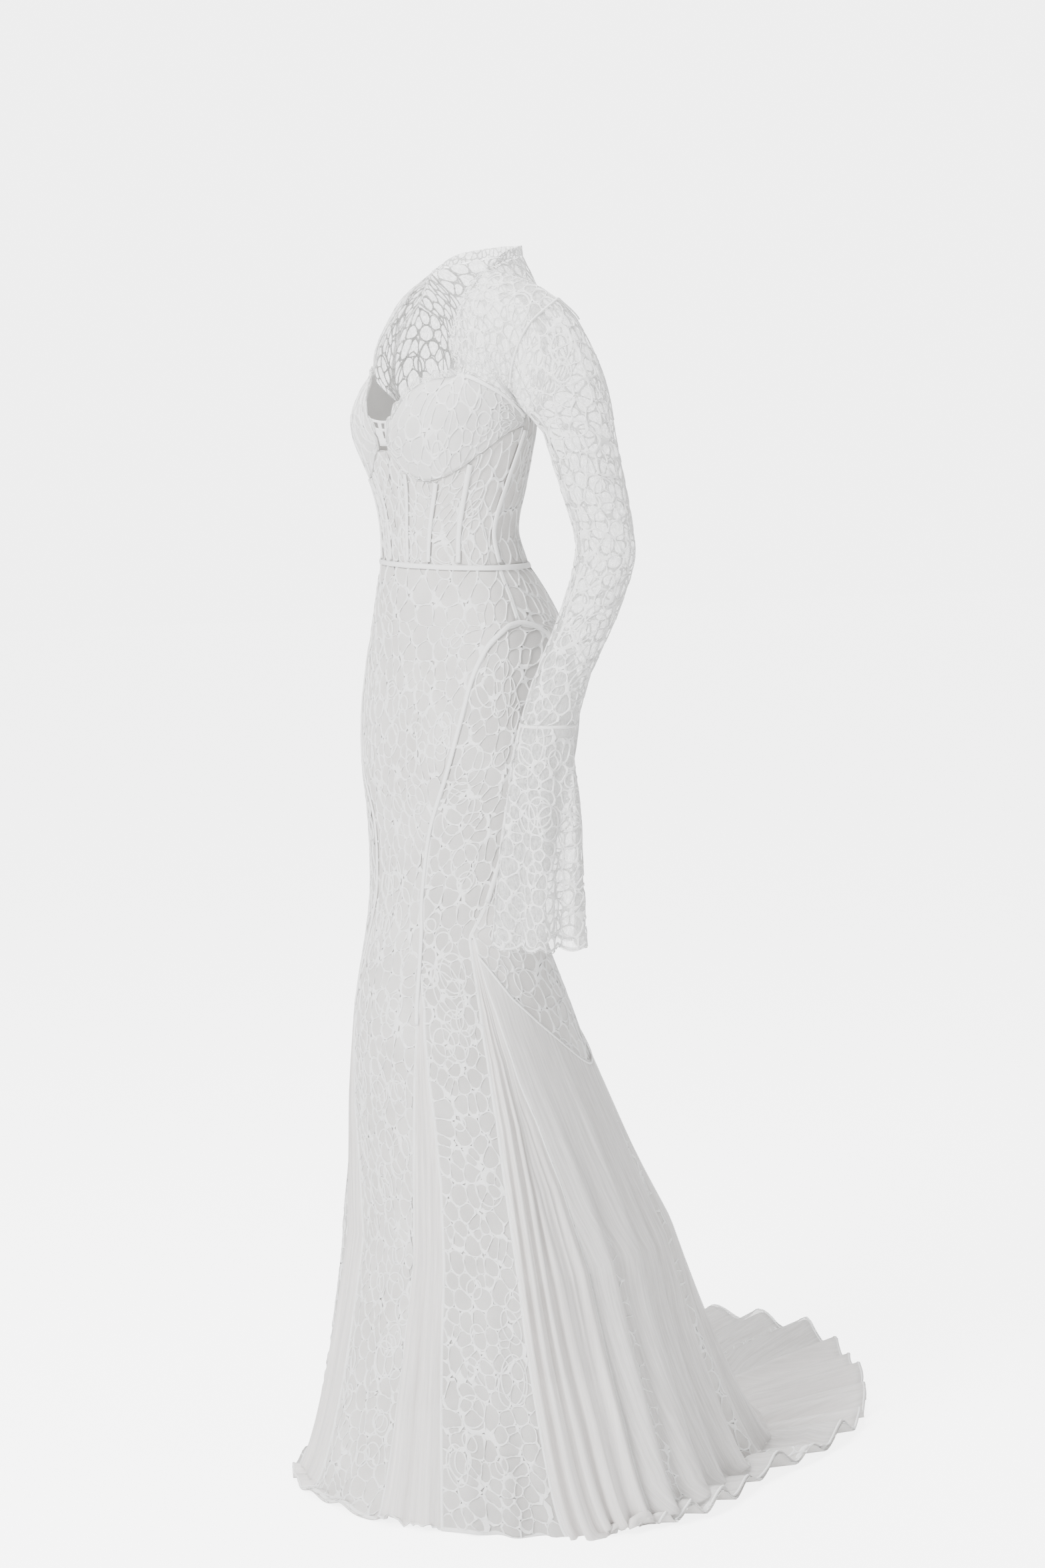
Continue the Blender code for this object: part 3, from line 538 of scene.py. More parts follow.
LINING = fabric("lining", (0.77, 0.755, 0.735), (0.62, 0.60, 0.58), 0.85, 900.0, 0.5)
SIDE_LINING = fabric("side_lining", (0.66, 0.65, 0.635), (0.53, 0.515, 0.50), 0.85, 900.0, 0.5)
PADDED = fabric("padded_lining", (0.80, 0.795, 0.785), (0.68, 0.67, 0.66), 0.8, 900.0, 0.4)
CORD = fabric("lace_cord", (0.95, 0.95, 0.945), (0.88, 0.88, 0.87), 0.6, 1400.0, 0.35,
              subsurface=0.1)
PIPING = fabric("piping", (0.95, 0.95, 0.945), (0.89, 0.89, 0.88), 0.55, 1100.0, 0.3)
VEIL = fabric("chiffon_veil", (0.92, 0.905, 0.89), (0.84, 0.82, 0.805), 0.65, 160.0, 0.25,
              stretch=(1.0, 0.05, 1.0), sheen=0.5, cover=(0.45, 0.72))
NET = fabric("net", (0.93, 0.93, 0.92), (0.86, 0.86, 0.85), 0.8, 420.0, 0.2,
             stretch=(1.0, 0.35, 1.0), cover=(0.08, 0.50))
CHIFFON = fabric("chiffon", (0.93, 0.905, 0.885), (0.84, 0.81, 0.79), 0.65, 160.0, 0.25,
                 stretch=(1.0, 0.05, 1.0), sheen=0.5, cover=(0.80, 0.96))


def finish_mesh(name, mesh, look, node=None):
    """Makes the piece, gives it its look and lets it ride with the gown."""
    mesh.materials.append(look)
    mesh.shade_smooth()
    piece = bpy.data.objects.new(name, mesh)
    bpy.context.scene.collection.objects.link(piece)
    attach(piece, ROOT)
    if node:
        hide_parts(node)
    return piece


def steps(values, count):
    if not isinstance(values, (list, tuple)):
        values = [i / values for i in range(values + 1)]
    fine = []
    for low, high in zip(values, values[1:]):
        fine += [low + (high - low) * k / count for k in range(count)]
    return fine + [values[-1]]


def lengths(grid, axis):
    """Running length along one direction of a grid of points."""
    pieces = np.linalg.norm(np.diff(grid, axis=axis), axis=2)
    start = np.zeros_like(np.take(pieces, [0], axis=axis))
    return np.concatenate([start, np.cumsum(pieces, axis=axis)], axis=axis)


def normals_of(grid):
    along, rise = np.gradient(grid, axis=0), np.gradient(grid, axis=1)
    out = np.cross(along, rise)
    return out / np.maximum(np.linalg.norm(out, axis=2, keepdims=True), 1e-12)


def wall(name, columns, rows, place, thickness, look, slot, holes=(), finer=(1, 1), wave=None):
    """Cloth on a grid of place(u, v), its outer side, with its thickness turned inwards."""
    us, vs = steps(columns, finer[0]), steps(rows, finer[1])
    grid = np.array([[place(u, v) for v in vs] for u in us], float)
    grid[..., 2] -= HOLD_HEIGHT
    out = normals_of(grid)
    if wave is not None:
        grid = grid + out * wave(np.array(us)[:, None], np.array(vs)[None, :])[..., None]
        out = normals_of(grid)
    across, up = len(us) - 1, len(vs) - 1
    bm = bmesh.new()
    bmesh.ops.create_grid(bm, x_segments=across, y_segments=up, size=0.5)
    uv = bm.loops.layers.uv.new("cloth")
    run, rise = lengths(grid, 0), lengths(grid, 1)
    spot = [(round((v.co.x + 0.5) * across), round((v.co.y + 0.5) * up)) for v in bm.verts]
    for vert, (i, j) in zip(bm.verts, spot):
        vert.co = grid[i, j]
    bm.verts.index_update()
    for face in bm.faces:
        for loop in face.loops:
            i, j = spot[loop.vert.index]
            loop[uv].uv = (run[i, j] - run[-1, j] / 2.0, rise[i, j])
    cut = [f for f in bm.faces
           if (min(spot[v.index][0] for v in f.verts) // finer[0],
               min(spot[v.index][1] for v in f.verts) // finer[1]) in holes]
    bmesh.ops.delete(bm, geom=cut, context="FACES")
    mesh = bpy.data.meshes.new(name)
    bm.to_mesh(mesh)
    bm.free()
    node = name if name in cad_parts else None
    piece = finish_mesh(name + "_cloth", mesh, look, node)
    solid = piece.modifiers.new("thickness", "SOLIDIFY")
    solid.thickness = thickness
    solid.offset = -1.0
    grids[name] = (grid, out, run, rise, slot)
    cloths[name] = piece
    return piece


def on_grid(name, u, v, lift):
    """Points over a cloth at shares u and v of its grid, lifted off it."""
    grid, out = grids[name][0], grids[name][1]
    x = np.clip(u, 0.0, 1.0) * (grid.shape[0] - 1)
    y = np.clip(v, 0.0, 1.0) * (grid.shape[1] - 1)
    i = np.minimum(x.astype(int), grid.shape[0] - 2)
    j = np.minimum(y.astype(int), grid.shape[1] - 2)
    a, b = (x - i)[..., None], (y - j)[..., None]

    def mixed(table):
        low = table[i, j] * (1 - a) + table[i + 1, j] * a
        high = table[i, j + 1] * (1 - a) + table[i + 1, j + 1] * a
        return low * (1 - b) + high * b
    return mixed(grid) + mixed(out) * lift[..., None]


def ribbon_mesh(name, bands, look, closed=True):
    """Joined mesh of many bands: points of shape (band, ring, step, 3)."""
    count, rings, steps_round = bands.shape[:3]
    index = np.arange(count * rings * steps_round).reshape(count, rings, steps_round)
    after = np.roll(index, -1, axis=2) if closed else index[:, :, 1:]
    here = index if closed else index[:, :, :-1]
    quads = np.stack([here[:, :-1], after[:, :-1], after[:, 1:], here[:, 1:]], axis=-1)
    mesh = bpy.data.meshes.new(name)
    mesh.from_pydata(bands.reshape(-1, 3).tolist(), [], quads.reshape(-1, 4).tolist())
    return finish_mesh(name, mesh, look)


LACE_SIDES = 14              # corners of a cell's cord
NEAR_CELLS = 14              # neighbours that may bound a cell
PETAL_REACH = 0.95           # of a cell's size, from a flower's middle to its petals
FLOWER_ROOM = 1.75           # cleared round a flower's middle
FLOWERS_APART = 4.6
CORD_HALF = 0.0011           # half the width of a lace cord
CORD_RISE = 0.0014


def seeds_on(width, height, size, stretch, random):
    """Uneven middles of lace cells over a cut that is width(t) wide, with some flowers."""
    spots = []
    pitch = size * 0.87 * stretch
    rows = max(2, round(height / pitch))
    for row in range(-1, rows + 1):
        t = (row + 0.5) * height / rows
        wide = float(width(min(max(t, 0.0), height)))
        count = max(1, round(wide / size))
        for k in range(-1, count + 1):
            s = ((k + 0.5 + (0.25 if row % 2 else -0.25)) / count - 0.5) * wide
            spots.append((s, t))
    spots = np.array(spots)
    spots += random.uniform(-0.42, 0.42, spots.shape) * (size, size * stretch)
    split = spots[random.uniform(size=len(spots)) < 0.22]
    spots = spots[random.uniform(size=len(spots)) > 0.12]
    spots = np.concatenate([spots, split + random.uniform(-0.6, 0.6, split.shape) * size])
    flowers = []
    for s, t in spots[random.permutation(len(spots))]:
        if all(np.hypot(s - a, (t - b) / stretch) > FLOWERS_APART * size for a, b in flowers):
            flowers.append((s, t))
    petals = []
    for s, t in flowers[::2]:
        away = np.hypot(spots[:, 0] - s, (spots[:, 1] - t) / stretch)
        spots = spots[away > FLOWER_ROOM * size]
        turn = random.uniform(0.0, 2.0 * pi)
        petals.append((s, t))
        for k in range(6):
            at = turn + k * pi / 3
            petals.append((s + PETAL_REACH * size * cos(at),
                           t + PETAL_REACH * size * sin(at) * stretch))
    return np.concatenate([spots, np.array(petals).reshape(-1, 2)])


def lace(name, size, stretch=1.0, seed=1, half=CORD_HALF, rise=CORD_RISE):
    """Network of raised cords over a cloth: one ring of cord round every cell."""
    random = np.random.default_rng(seed)
    grid, _, run, climb, slot = grids[name]
    level = climb.mean(axis=0)
    wide = run[-1]

    def width(t):
        return np.interp(t, level, wide)
    spots = seeds_on(width, level[-1], size, stretch, random)
    flat = spots / (1.0, stretch)
    apart = flat[None] - flat[:, None]
    far = np.hypot(apart[..., 0], apart[..., 1])
    np.fill_diagonal(far, 9.0)
    near = np.argsort(far, axis=1)[:, :NEAR_CELLS]
    inside = ((np.abs(spots[:, 0]) < width(spots[:, 1]) * 0.5 + 0.2 * size)
              & (spots[:, 1] > -0.1 * size) & (spots[:, 1] < level[-1] + 0.1 * size))
    rows = np.nonzero(inside)[0]
    gap = np.take_along_axis(apart[rows], near[rows][..., None], axis=1)
    reach = np.hypot(gap[..., 0], gap[..., 1])
    heading = np.arctan2(gap[..., 1], gap[..., 0])
    fine = np.arange(LACE_SIDES * 3) * 2.0 * pi / (LACE_SIDES * 3)
    lean = np.cos(fine[None, :, None] - heading[:, None, :])
    limit = np.where(lean > 0.05, reach[:, None, :] / 2.0 / np.maximum(lean, 0.05), 9.0)
    edge = np.minimum(limit.min(axis=2), 1.3 * size)
    middle = edge[:, ::3]
    outer = np.maximum(np.maximum(np.roll(edge, 1, axis=1)[:, ::3], middle),
                       np.roll(edge, -1, axis=1)[:, ::3])
    soft = 0.56 * middle + 0.22 * (np.roll(middle, 1, axis=1) + np.roll(middle, -1, axis=1))
    soft = np.minimum(soft, 1.5 * soft.mean(axis=1, keepdims=True))
    wide_cord = half * random.uniform(0.75, 1.35, (len(rows), 1))
    round_hole = np.maximum(soft - wide_cord, 0.25 * soft)
    mid_cord = 0.45 * outer + 0.55 * round_hole
    heights = rise * random.uniform(0.85, 1.15, (len(rows), 1)) * np.ones_like(soft)
    angles = fine[::3][None]
    bands = []
    for radius, lift in ((outer, heights), (mid_cord, heights * 0.9), (round_hole, heights * 0.0)):
        s = spots[rows, 0, None] + radius * np.cos(angles)
        t = spots[rows, 1, None] + radius * np.sin(angles) * stretch
        u = s / width(t) + 0.5
        v = np.interp(t, level, np.linspace(0.0, 1.0, len(level)))
        bands.append(on_grid(name, u, v, lift + 0.0001))
    return ribbon_mesh(name + "_lace", np.stack(bands, axis=1), CORD)


def loops(name, count, seed, small=0.008, large=0.019, stretch=1.2):
    """Single oval cords laid over the network, as in the flowers and rings of the lace."""
    random = np.random.default_rng(seed)
    _, _, run, climb, slot = grids[name]
    level, wide = climb.mean(axis=0), run[-1]
    t = random.uniform(0.06, 0.94, count) * level[-1]
    s = random.uniform(-0.42, 0.42, count) * np.interp(t, level, wide)
    size = random.uniform(small, large, count)
    long = size * random.uniform(0.8, 1.5, count) * stretch
    lean = random.uniform(-0.5, 0.5, count)
    angles = np.arange(24) * 2.0 * pi / 24
    bands = []
    for shift, lift in ((0.0012, 0.0004), (0.0, 0.0018), (-0.0012, 0.0004)):
        a = (size[:, None] + shift) * np.cos(angles)
        b = (long[:, None] + shift) * np.sin(angles)
        x = s[:, None] + a * np.cos(lean)[:, None] - b * np.sin(lean)[:, None]
        y = t[:, None] + a * np.sin(lean)[:, None] + b * np.cos(lean)[:, None]
        u = x / np.interp(y, level, wide) + 0.5
        v = np.interp(y, level, np.linspace(0.0, 1.0, len(level)))
        bands.append(on_grid(name, u, v, np.full(u.shape, lift)))
    return ribbon_mesh(name + "_rings", np.stack(bands, axis=1), CORD)


def rib(name, label, u_of, v_of, half=0.0022, rise=0.0016, count=240):
    """Rounded cord along a line of a cloth, such as piping on a seam or a rolled hem."""
    at = np.linspace(0.0, 1.0, count)
    u, v = u_of(at) * np.ones(count), v_of(at) * np.ones(count)
    line = on_grid(name, u, v, np.zeros(count))
    ahead = np.gradient(line, axis=0)
    ahead /= np.maximum(np.linalg.norm(ahead, axis=1, keepdims=True), 1e-9)
    up = on_grid(name, u, v, np.ones(count)) - line
    up /= np.linalg.norm(up, axis=1, keepdims=True)
    side = np.cross(up, ahead)
    turns = np.linspace(0.0, pi, 6)
    bands = np.stack([line + side * half * cos(k) + up * (rise * sin(k) - 0.0002) for k in turns])
    return ribbon_mesh(name + "_" + label, bands[None], PIPING, False)


def mirrored(place):
    """The same surface on the wearer's right, with u still running the same way round."""
    def other(u, v):
        point = place(1.0 - u, v)
        return Vector((-point.x, point.y, point.z))
    return other


def level_rows(bottom, top, levels):
    inside = [level for level in levels if bottom < level < top]
    return [(level - bottom) / (top - bottom) for level in [bottom, *inside, top]]


# Skirt panels

EXTRA_LEVELS = (0.840, 0.916)
LEVELS = sorted([row[0] for row in SKIRT_SEAMS] + list(EXTRA_LEVELS))


def seam(column, level, right=False):
    angle = read_straight(SKIRT_SEAMS, level, column)
    return -angle if right else angle


def skirt_panel(name, first, last, bottom, top, columns, thickness, look, slot, finer,
                wave=None):
    """Panel between two seam functions of the level, from the floor or a seam up to top."""
    def spot(u, v):
        level = bottom + (top - bottom) * v
        start, end = first(level), last(level)
        return start + (end - start) * u, level
    wall(name, columns, level_rows(bottom, top, LEVELS), lambda u, v: skirt(*spot(u, v)),
         thickness, look, slot, finer=finer, wave=wave)


# Small folds of the chiffon: place across, width, depth, how far up, drift

CREASES = (
    (0.08, 0.017, 0.0040, 0.90, 0.03),
    (0.17, 0.026, -0.0035, 0.70, -0.02),
    (0.27, 0.020, 0.0050, 1.00, 0.04),
    (0.36, 0.030, 0.0030, 0.62, 0.00),
    (0.45, 0.018, -0.0040, 0.85, 0.03),
    (0.53, 0.032, 0.0055, 0.95, -0.03),
    (0.64, 0.021, 0.0035, 0.75, 0.02),
    (0.73, 0.028, -0.0045, 1.00, -0.04),
    (0.82, 0.018, 0.0050, 0.80, -0.02),
    (0.91, 0.015, 0.0030, 0.66, 0.00),
)


def creased(u, v):
    deep = 0.0
    for place, width, depth, reach, drift in CREASES:
        away = (u - place - drift * v) / width
        deep = deep + depth * np.exp(-away * away) * np.clip((reach - v) / 0.25, 0.0, 1.0)
    return deep


skirt_panel("skirt_front", lambda z: seam(1, z, True), lambda z: seam(1, z), 0.0, WAIST - 0.001,
            8, SKIRT_WALL, LINING, "skirt_lace", (5, 6))
skirt_panel("skirt_side_left", lambda z: seam(2, z), lambda z: seam(3, z), 0.0, SIDE_PANEL_TOP,
            6, SKIRT_WALL, SIDE_LINING, "skirt_lace", (4, 6))
skirt_panel("skirt_side_right", lambda z: -seam(3, z), lambda z: -seam(2, z), 0.0,
            SIDE_PANEL_TOP, 6, SKIRT_WALL, SIDE_LINING, "skirt_lace", (4, 6))
skirt_panel("skirt_back_left", lambda z: seam(4, z), lambda z: seam(5, z), 0.0, WAIST - 0.001,
            12, SKIRT_WALL, LINING, "skirt_lace", (5, 6))
skirt_panel("skirt_back_right", lambda z: 360 - seam(5, z), lambda z: 360 - seam(4, z), 0.0,
            WAIST - 0.001, 12, SKIRT_WALL, LINING, "skirt_lace", (5, 6))
skirt_panel("godet_front_left", lambda z: seam(1, z), lambda z: seam(2, z), 0.0,
            GODET_FRONT_TOP, 4, SKIRT_WALL, CHIFFON, "chiffon", (6, 6), creased)
skirt_panel("godet_front_right", lambda z: -seam(2, z), lambda z: -seam(1, z), 0.0,
            GODET_FRONT_TOP, 4, SKIRT_WALL, CHIFFON, "chiffon", (6, 6), creased)
skirt_panel("godet_side_left", lambda z: seam(3, z), lambda z: seam(4, z), 0.0,
            GODET_SIDE_TOP, 10, SKIRT_WALL, CHIFFON, "chiffon", (6, 6), creased)
skirt_panel("godet_side_right", lambda z: -seam(4, z), lambda z: -seam(3, z), 0.0,
            GODET_SIDE_TOP, 10, SKIRT_WALL, CHIFFON, "chiffon", (6, 6), creased)
skirt_panel("train_godet", lambda z: seam(5, z), lambda z: 360 - seam(5, z), 0.0,
            TRAIN_GODET_TOP, 12, SKIRT_WALL, CHIFFON, "chiffon", (6, 6), creased)


# Corset panels, from the waist to the cups or the back seam

def corset_seam(column, height):
    return read(CORSET_SEAMS, height, column)


def cup_bottom(angle):
    return read(CUP_EDGES, abs(angle), 1)


CORSET_ROWS = 5
SIDE_SEAM_TOP = 1.3888       # where the side seam ends under the cup


def corset_panel(name, first, last, columns, top_of, rows=CORSET_ROWS):
    """Panel whose side seams follow the bone lines and whose top follows the cup seam."""
    def place(u, v):
        top = 1.35
        for _ in range(5):
            top = top_of(first(top) + (last(top) - first(top)) * u)
        height = WAIST + 0.001 + (top - WAIST - 0.001) * v
        start, end = first(height), last(height)
        return smooth_corset(start + (end - start) * u, height)
    wall(name, columns, rows, place, LACE_WALL, LINING, "corset_lace", finer=(3, 6))


def under_cup(angle):
    return cup_bottom(angle) - 0.0012


def back_top(angle):
    return BACK_TOP - 0.0005


BACK_SHARE = (SIDE_SEAM_TOP - WAIST - 0.001) / (BACK_TOP - 0.0005 - WAIST - 0.001)
BACK_ROWS = [BACK_SHARE * row / CORSET_ROWS for row in range(CORSET_ROWS + 1)] + [1.0]


corset_panel("corset_front_left", lambda z: 0.0, lambda z: corset_seam(2, z), 7, under_cup)
corset_panel("corset_front_right", lambda z: -corset_seam(2, z), lambda z: 0.0, 7, under_cup)
corset_panel("corset_side_left", lambda z: corset_seam(2, z), lambda z: corset_seam(4, z),
             7, under_cup)
corset_panel("corset_side_right", lambda z: -corset_seam(4, z), lambda z: -corset_seam(2, z),
             7, under_cup)
corset_panel("corset_back_left", lambda z: corset_seam(4, z), lambda z: 180.0, 7, back_top,
             BACK_ROWS)
corset_panel("corset_back_right", lambda z: 180.0, lambda z: 360.0 - corset_seam(4, z),
             7, back_top, BACK_ROWS)


# Cups

def cup_top(angle):
    return read(CUP_EDGES, abs(angle), 2)


def cup(u, v):
    angle = CUP_EDGES[0][0] + (UNDERARM_ANGLE - CUP_EDGES[0][0]) * u
    bottom, top = cup_bottom(angle), cup_top(angle)
    return smooth_corset(angle, bottom + (top - bottom) * v)


wall("cup_left", 14, 4, cup, CUP_WALL, PADDED, "corset_lace", finer=(3, 6))
wall("cup_right", 14, 4, mirrored(cup), CUP_WALL, PADDED, "corset_lace", finer=(3, 6))


# Open lace inset in the V between the cups, with its gaps cut through

INSET_TOP = 1.398
INSET_BACK = 0.0032          # it lies behind the cups' edging


def inset(u, v):
    half = read_straight(((1.362, 4.6), (1.372, 4.6), (1.409, 13.6)), 1.3625 + 0.0355 * v, 1)
    dip = 0.004 * (1.0 - (2.0 * u - 1.0) ** 2) * v
    height = 1.3625 + (INSET_TOP - 1.3625) * v - dip
    point = smooth_corset(half * (2.0 * u - 1.0), height)
    return point - Vector((point.x, point.y, 0.0)).normalized() * INSET_BACK


INSET_COLUMNS = (0.0, 0.14, 0.30, 0.42, 0.58, 0.70, 0.86, 1.0)
INSET_ROWS = (0.0, 0.30, 0.58, 0.68, 0.90, 1.0)
wall("v_inset", list(INSET_COLUMNS), list(INSET_ROWS), inset, SHEER_WALL, CORD, "trim",
     finer=(2, 2), holes=((1, 3), (3, 1), (3, 3), (5, 3)))


# Yoke: four curved pieces between the neck edge, the shoulders, the armholes and the corset

def yoke_outward(point):
    inside = Vector((0.7 * point.x, 0.045, 1.47 + 0.35 * (point.z - 1.47)))
    return (point - inside).normalized()


def patch(bottom, top, left, right, bulge):
    """Curved piece between four edges, rounded out in its middle."""
    corners = (bottom(0.0), bottom(1.0), top(0.0), top(1.0))

    def place(u, v):
        across = bottom(u) * (1 - v) + top(u) * v
        along = left(v) * (1 - u) + right(v) * u
        flat = (corners[0] * (1 - u) * (1 - v) + corners[1] * u * (1 - v)
                + corners[2] * (1 - u) * v + corners[3] * u * v)
        point = across + along - flat
        return point + yoke_outward(point) * bulge * sin(pi * u) * sin(pi * v)
    return place


def on_corset(angle, height):
    return smooth_corset(angle, height)


neck_start = on_corset(YOKE_ANGLE, cup_top(YOKE_ANGLE) + 0.001)
underarm = on_corset(UNDERARM_ANGLE, BACK_TOP + 0.001)
neck_edge = [tuple(neck_start), *NECK_EDGE]
armhole_front = [tuple(underarm), *ARMHOLE_FRONT]
armhole_back = [tuple(underarm), *ARMHOLE_BACK]
spine = [tuple(on_corset(180.0, BACK_TOP + 0.001)), *BACK_SPINE]


def front_bottom(u):
    angle = YOKE_ANGLE + (UNDERARM_ANGLE - YOKE_ANGLE) * u
    return on_corset(angle, cup_top(angle) + 0.001)


def back_bottom(u):
    return on_corset(UNDERARM_ANGLE + (180.0 - UNDERARM_ANGLE) * u, BACK_TOP + 0.001)


def back_yoke_top(u):
    if u < 0.5:
        return follow(SHOULDER_LINE, 1.0 - 2.0 * u)
    return follow(NAPE_EDGE, 2.0 * u - 1.0)


front_yoke = patch(front_bottom, lambda u: follow(SHOULDER_LINE, u),
                   lambda v: follow(neck_edge, v), lambda v: follow(armhole_front, v), 0.006)
back_yoke = patch(back_bottom, back_yoke_top,
                  lambda v: follow(armhole_back, v), lambda v: follow(spine, v), 0.008)


for name, columns, place in (("yoke_front", 5, front_yoke), ("yoke_back", 10, back_yoke)):
    wall(name + "_left", columns, 8, place, SHEER_WALL, NET, "sheer_lace",
         finer=(3, 3))
    other = mirrored(place)
    wall(name + "_right", columns, 8, other, SHEER_WALL, NET, "sheer_lace",
         finer=(3, 3))


# Stand collar at the nape

def collar(u, v):
    side = 1.0 if u < 0.5 else -1.0
    point = follow(NAPE_EDGE, 2.0 * u if u < 0.5 else 2.0 - 2.0 * u)
    rise = 0.001 + COLLAR_HEIGHT * v * soft_step(4.0 * min(u, 1.0 - u) + 0.25)
    lean = Vector((0.10 * side, -0.20, 1.0)).normalized()
    return Vector((point.x * side, point.y, point.z)) + lean * rise


wall("stand_collar", 12, 1, collar, SHEER_WALL, NET, "sheer_lace", finer=(4, 4))


# Sleeves and bell cuffs

def armhole(turn):
    """Armhole of the left side: 0 at the front, 90 at the shoulder, 180 behind, 270 below."""
    turn = (turn + 90.0) % 360.0
    if turn <= 180.0:
        return follow(armhole_front, turn / 180.0)
    return follow(armhole_back, 2.0 - turn / 180.0)


def ring(table, turn, v, wave=0.0):
    """Point of a tube round a line of rows, from its last row at v = 0 up to its first."""
    rows = table[::-1]
    here = follow(rows, v)
    reach = here[3] + wave
    return Vector((here[0] + reach * sin(radians(turn)), here[1] - reach * cos(radians(turn)),
                   here[2]))


def sleeve_place(table, first, last):
    def place(u, v):
        turn = first + (last - first) * u
        arm = 1.0 - SLEEVE_HEAD_SHARE
        if v <= arm:
            return ring(table, turn, v / arm)
        t = (v - arm) / SLEEVE_HEAD_SHARE
        low, high = ring(table, turn, 1.0), armhole(turn)
        share = 0.5 + 0.5 * sin(radians(turn))
        bulge = yoke_outward(high) * SLEEVE_HEAD * sin(pi * t) * share
        t = t * (1.0 - ARMHOLE_GAP / (high - low).length)
        return low + (high - low) * t + bulge
    return place


def bell_place(table, first, last):
    def place(u, v):
        turn = first + (last - first) * u
        flare = (1.0 - v) ** 1.3
        wave = BELL_WAVE * flare * cos(radians(turn * BELL_WAVES))
        point = ring(table, turn, v, wave)
        tooth = abs(sin(radians(turn * BELL_SCALLOPS / 2.0)))
        point.z -= BELL_SCALLOP * tooth * max(0.0, 1.0 - 3.0 * v)
        return point
    return place


for side, sleeve_rows, bell_rows in (("left", LEFT_SLEEVE, LEFT_BELL),
                                     ("right", RIGHT_SLEEVE, RIGHT_BELL)):
    for half, first, last in (("outer", 0.0, 180.0), ("inner", 180.0, 360.0)):
        sleeve = sleeve_place(sleeve_rows, first, last)
        bell = bell_place(bell_rows, first, last)
        if side == "right":
            sleeve, bell = mirrored(sleeve), mirrored(bell)
        wall("sleeve_" + half + "_" + side, 8, 10, sleeve, SHEER_WALL, NET,
             "sheer_lace", finer=(3, 5))
        wall("bell_" + half + "_" + side, 18, 3, bell, SHEER_WALL, NET,
             "sheer_lace", finer=(3, 12))


# Trims laid on the panels: bone casings, piping and the lace edging

def rounded(u, v):
    """Crown of a strip across its width, beaded along by its stitches."""
    return 0.0011 * np.sin(pi * v) * (1.0 + 0.12 * np.sin(260.0 * u))


def strip(name, columns, centre, surface, direction, lift=TRIM_LIFT):
    """Narrow band along centre(u), given as angle and height on a surface."""
    def place(u, v):
        low, high = max(u - 0.004, 0.0), min(u + 0.004, 1.0)
        angle, height = centre(u)
        along = (surface(*centre(high)) - surface(*centre(low))).normalized()
        out = direction(angle, height)
        side = out.cross(along).normalized()
        return surface(angle, height) + side * (v - 0.5) * TRIM_WIDTH + out * (lift + TRIM_WALL)

    wall(name, columns, 1, place, TRIM_WALL, PIPING, "trim", finer=(5, 4), wave=rounded)


def corset_normal(angle, height):
    return normal_of(smooth_corset, angle, height)


def bone_line(column, sign):
    def centre(u):
        height = 1.220 + (cup_bottom(corset_seam(column, 1.33)) - 0.004 - 1.220) * u
        return sign * corset_seam(column, height), height
    return centre


def side_line(sign):
    def centre(u):
        height = 1.220 + (1.384 - 1.220) * u
        return sign * corset_seam(4, height), height
    return centre


for side, sign in (("left", 1.0), ("right", -1.0)):
    for number, column in enumerate((1, 2, 3)):
        strip("bone_" + str(number + 1) + "_" + side, 7, bone_line(column, sign),
              smooth_corset, corset_normal)
    strip("bone_side_" + side, 8, side_line(sign), smooth_corset, corset_normal, 0.0017)


def waist_band(u, v):
    angle = -179.6 + 359.2 * u
    height = WAIST + TRIM_WIDTH * (v - 0.5)
    table = SKIRT_SECTIONS if height < WAIST else CORSET_SECTIONS
    point = section_point(table, angle, height)
    return point + Vector((point.x, point.y, 0.0)).normalized() * (TRIM_LIFT + TRIM_WALL + 0.0006)


wall("waist_piping", 44, 2, waist_band, TRIM_WALL, PIPING, "trim", finer=(4, 3), wave=rounded)


HIP_LINE_FRONT = (0.640, 0.700, 0.752, 0.800, 0.880, 0.953, 1.020, 1.075, 1.112, 1.132)
HIP_LINE_BACK = (1.132, 1.112, 1.075, 1.020, 0.953, 0.880, 0.800)


def hip_line(sign):
    """The arched seam from above the front godet, over the hip and down behind it."""
    points = [(seam(1, level), level) for level in HIP_LINE_FRONT]
    points.append((97.0, 1.146))
    points += [(seam(4, level), level) for level in HIP_LINE_BACK]

    def centre(u):
        angle, level = follow(points, u)
        return sign * angle, level
    return centre


for side, sign in (("left", 1.0), ("right", -1.0)):
    strip("hip_piping_" + side, 36, hip_line(sign), skirt, skirt_normal)


def lash(edge, teeth, into):
    """Lace edging that stands on an edge and ends in small pointed teeth."""
    def place(u, v):
        reach = LASH * (0.45 + 0.55 * abs(sin(pi * teeth * u)))
        return edge(u) + into(u) * (0.0010 + reach * v)
    return place


def cup_edge(u):
    angle = 6.0 + (YOKE_ANGLE - 3.0 - 6.0) * u
    return smooth_corset(angle, cup_top(angle)) + Vector((0.0, 0.0010, 0.0))


def cup_into(u):
    return Vector((-0.5 * (1.0 - u), -0.10, 1.0)).normalized()


def neck_line(u):
    return follow(neck_edge, 0.05 + 0.93 * u)


def neck_into(u):
    ahead = neck_line(min(u + 0.01, 1.0)) - neck_line(max(u - 0.01, 0.0))
    return yoke_outward(neck_line(u)).cross(ahead).normalized()


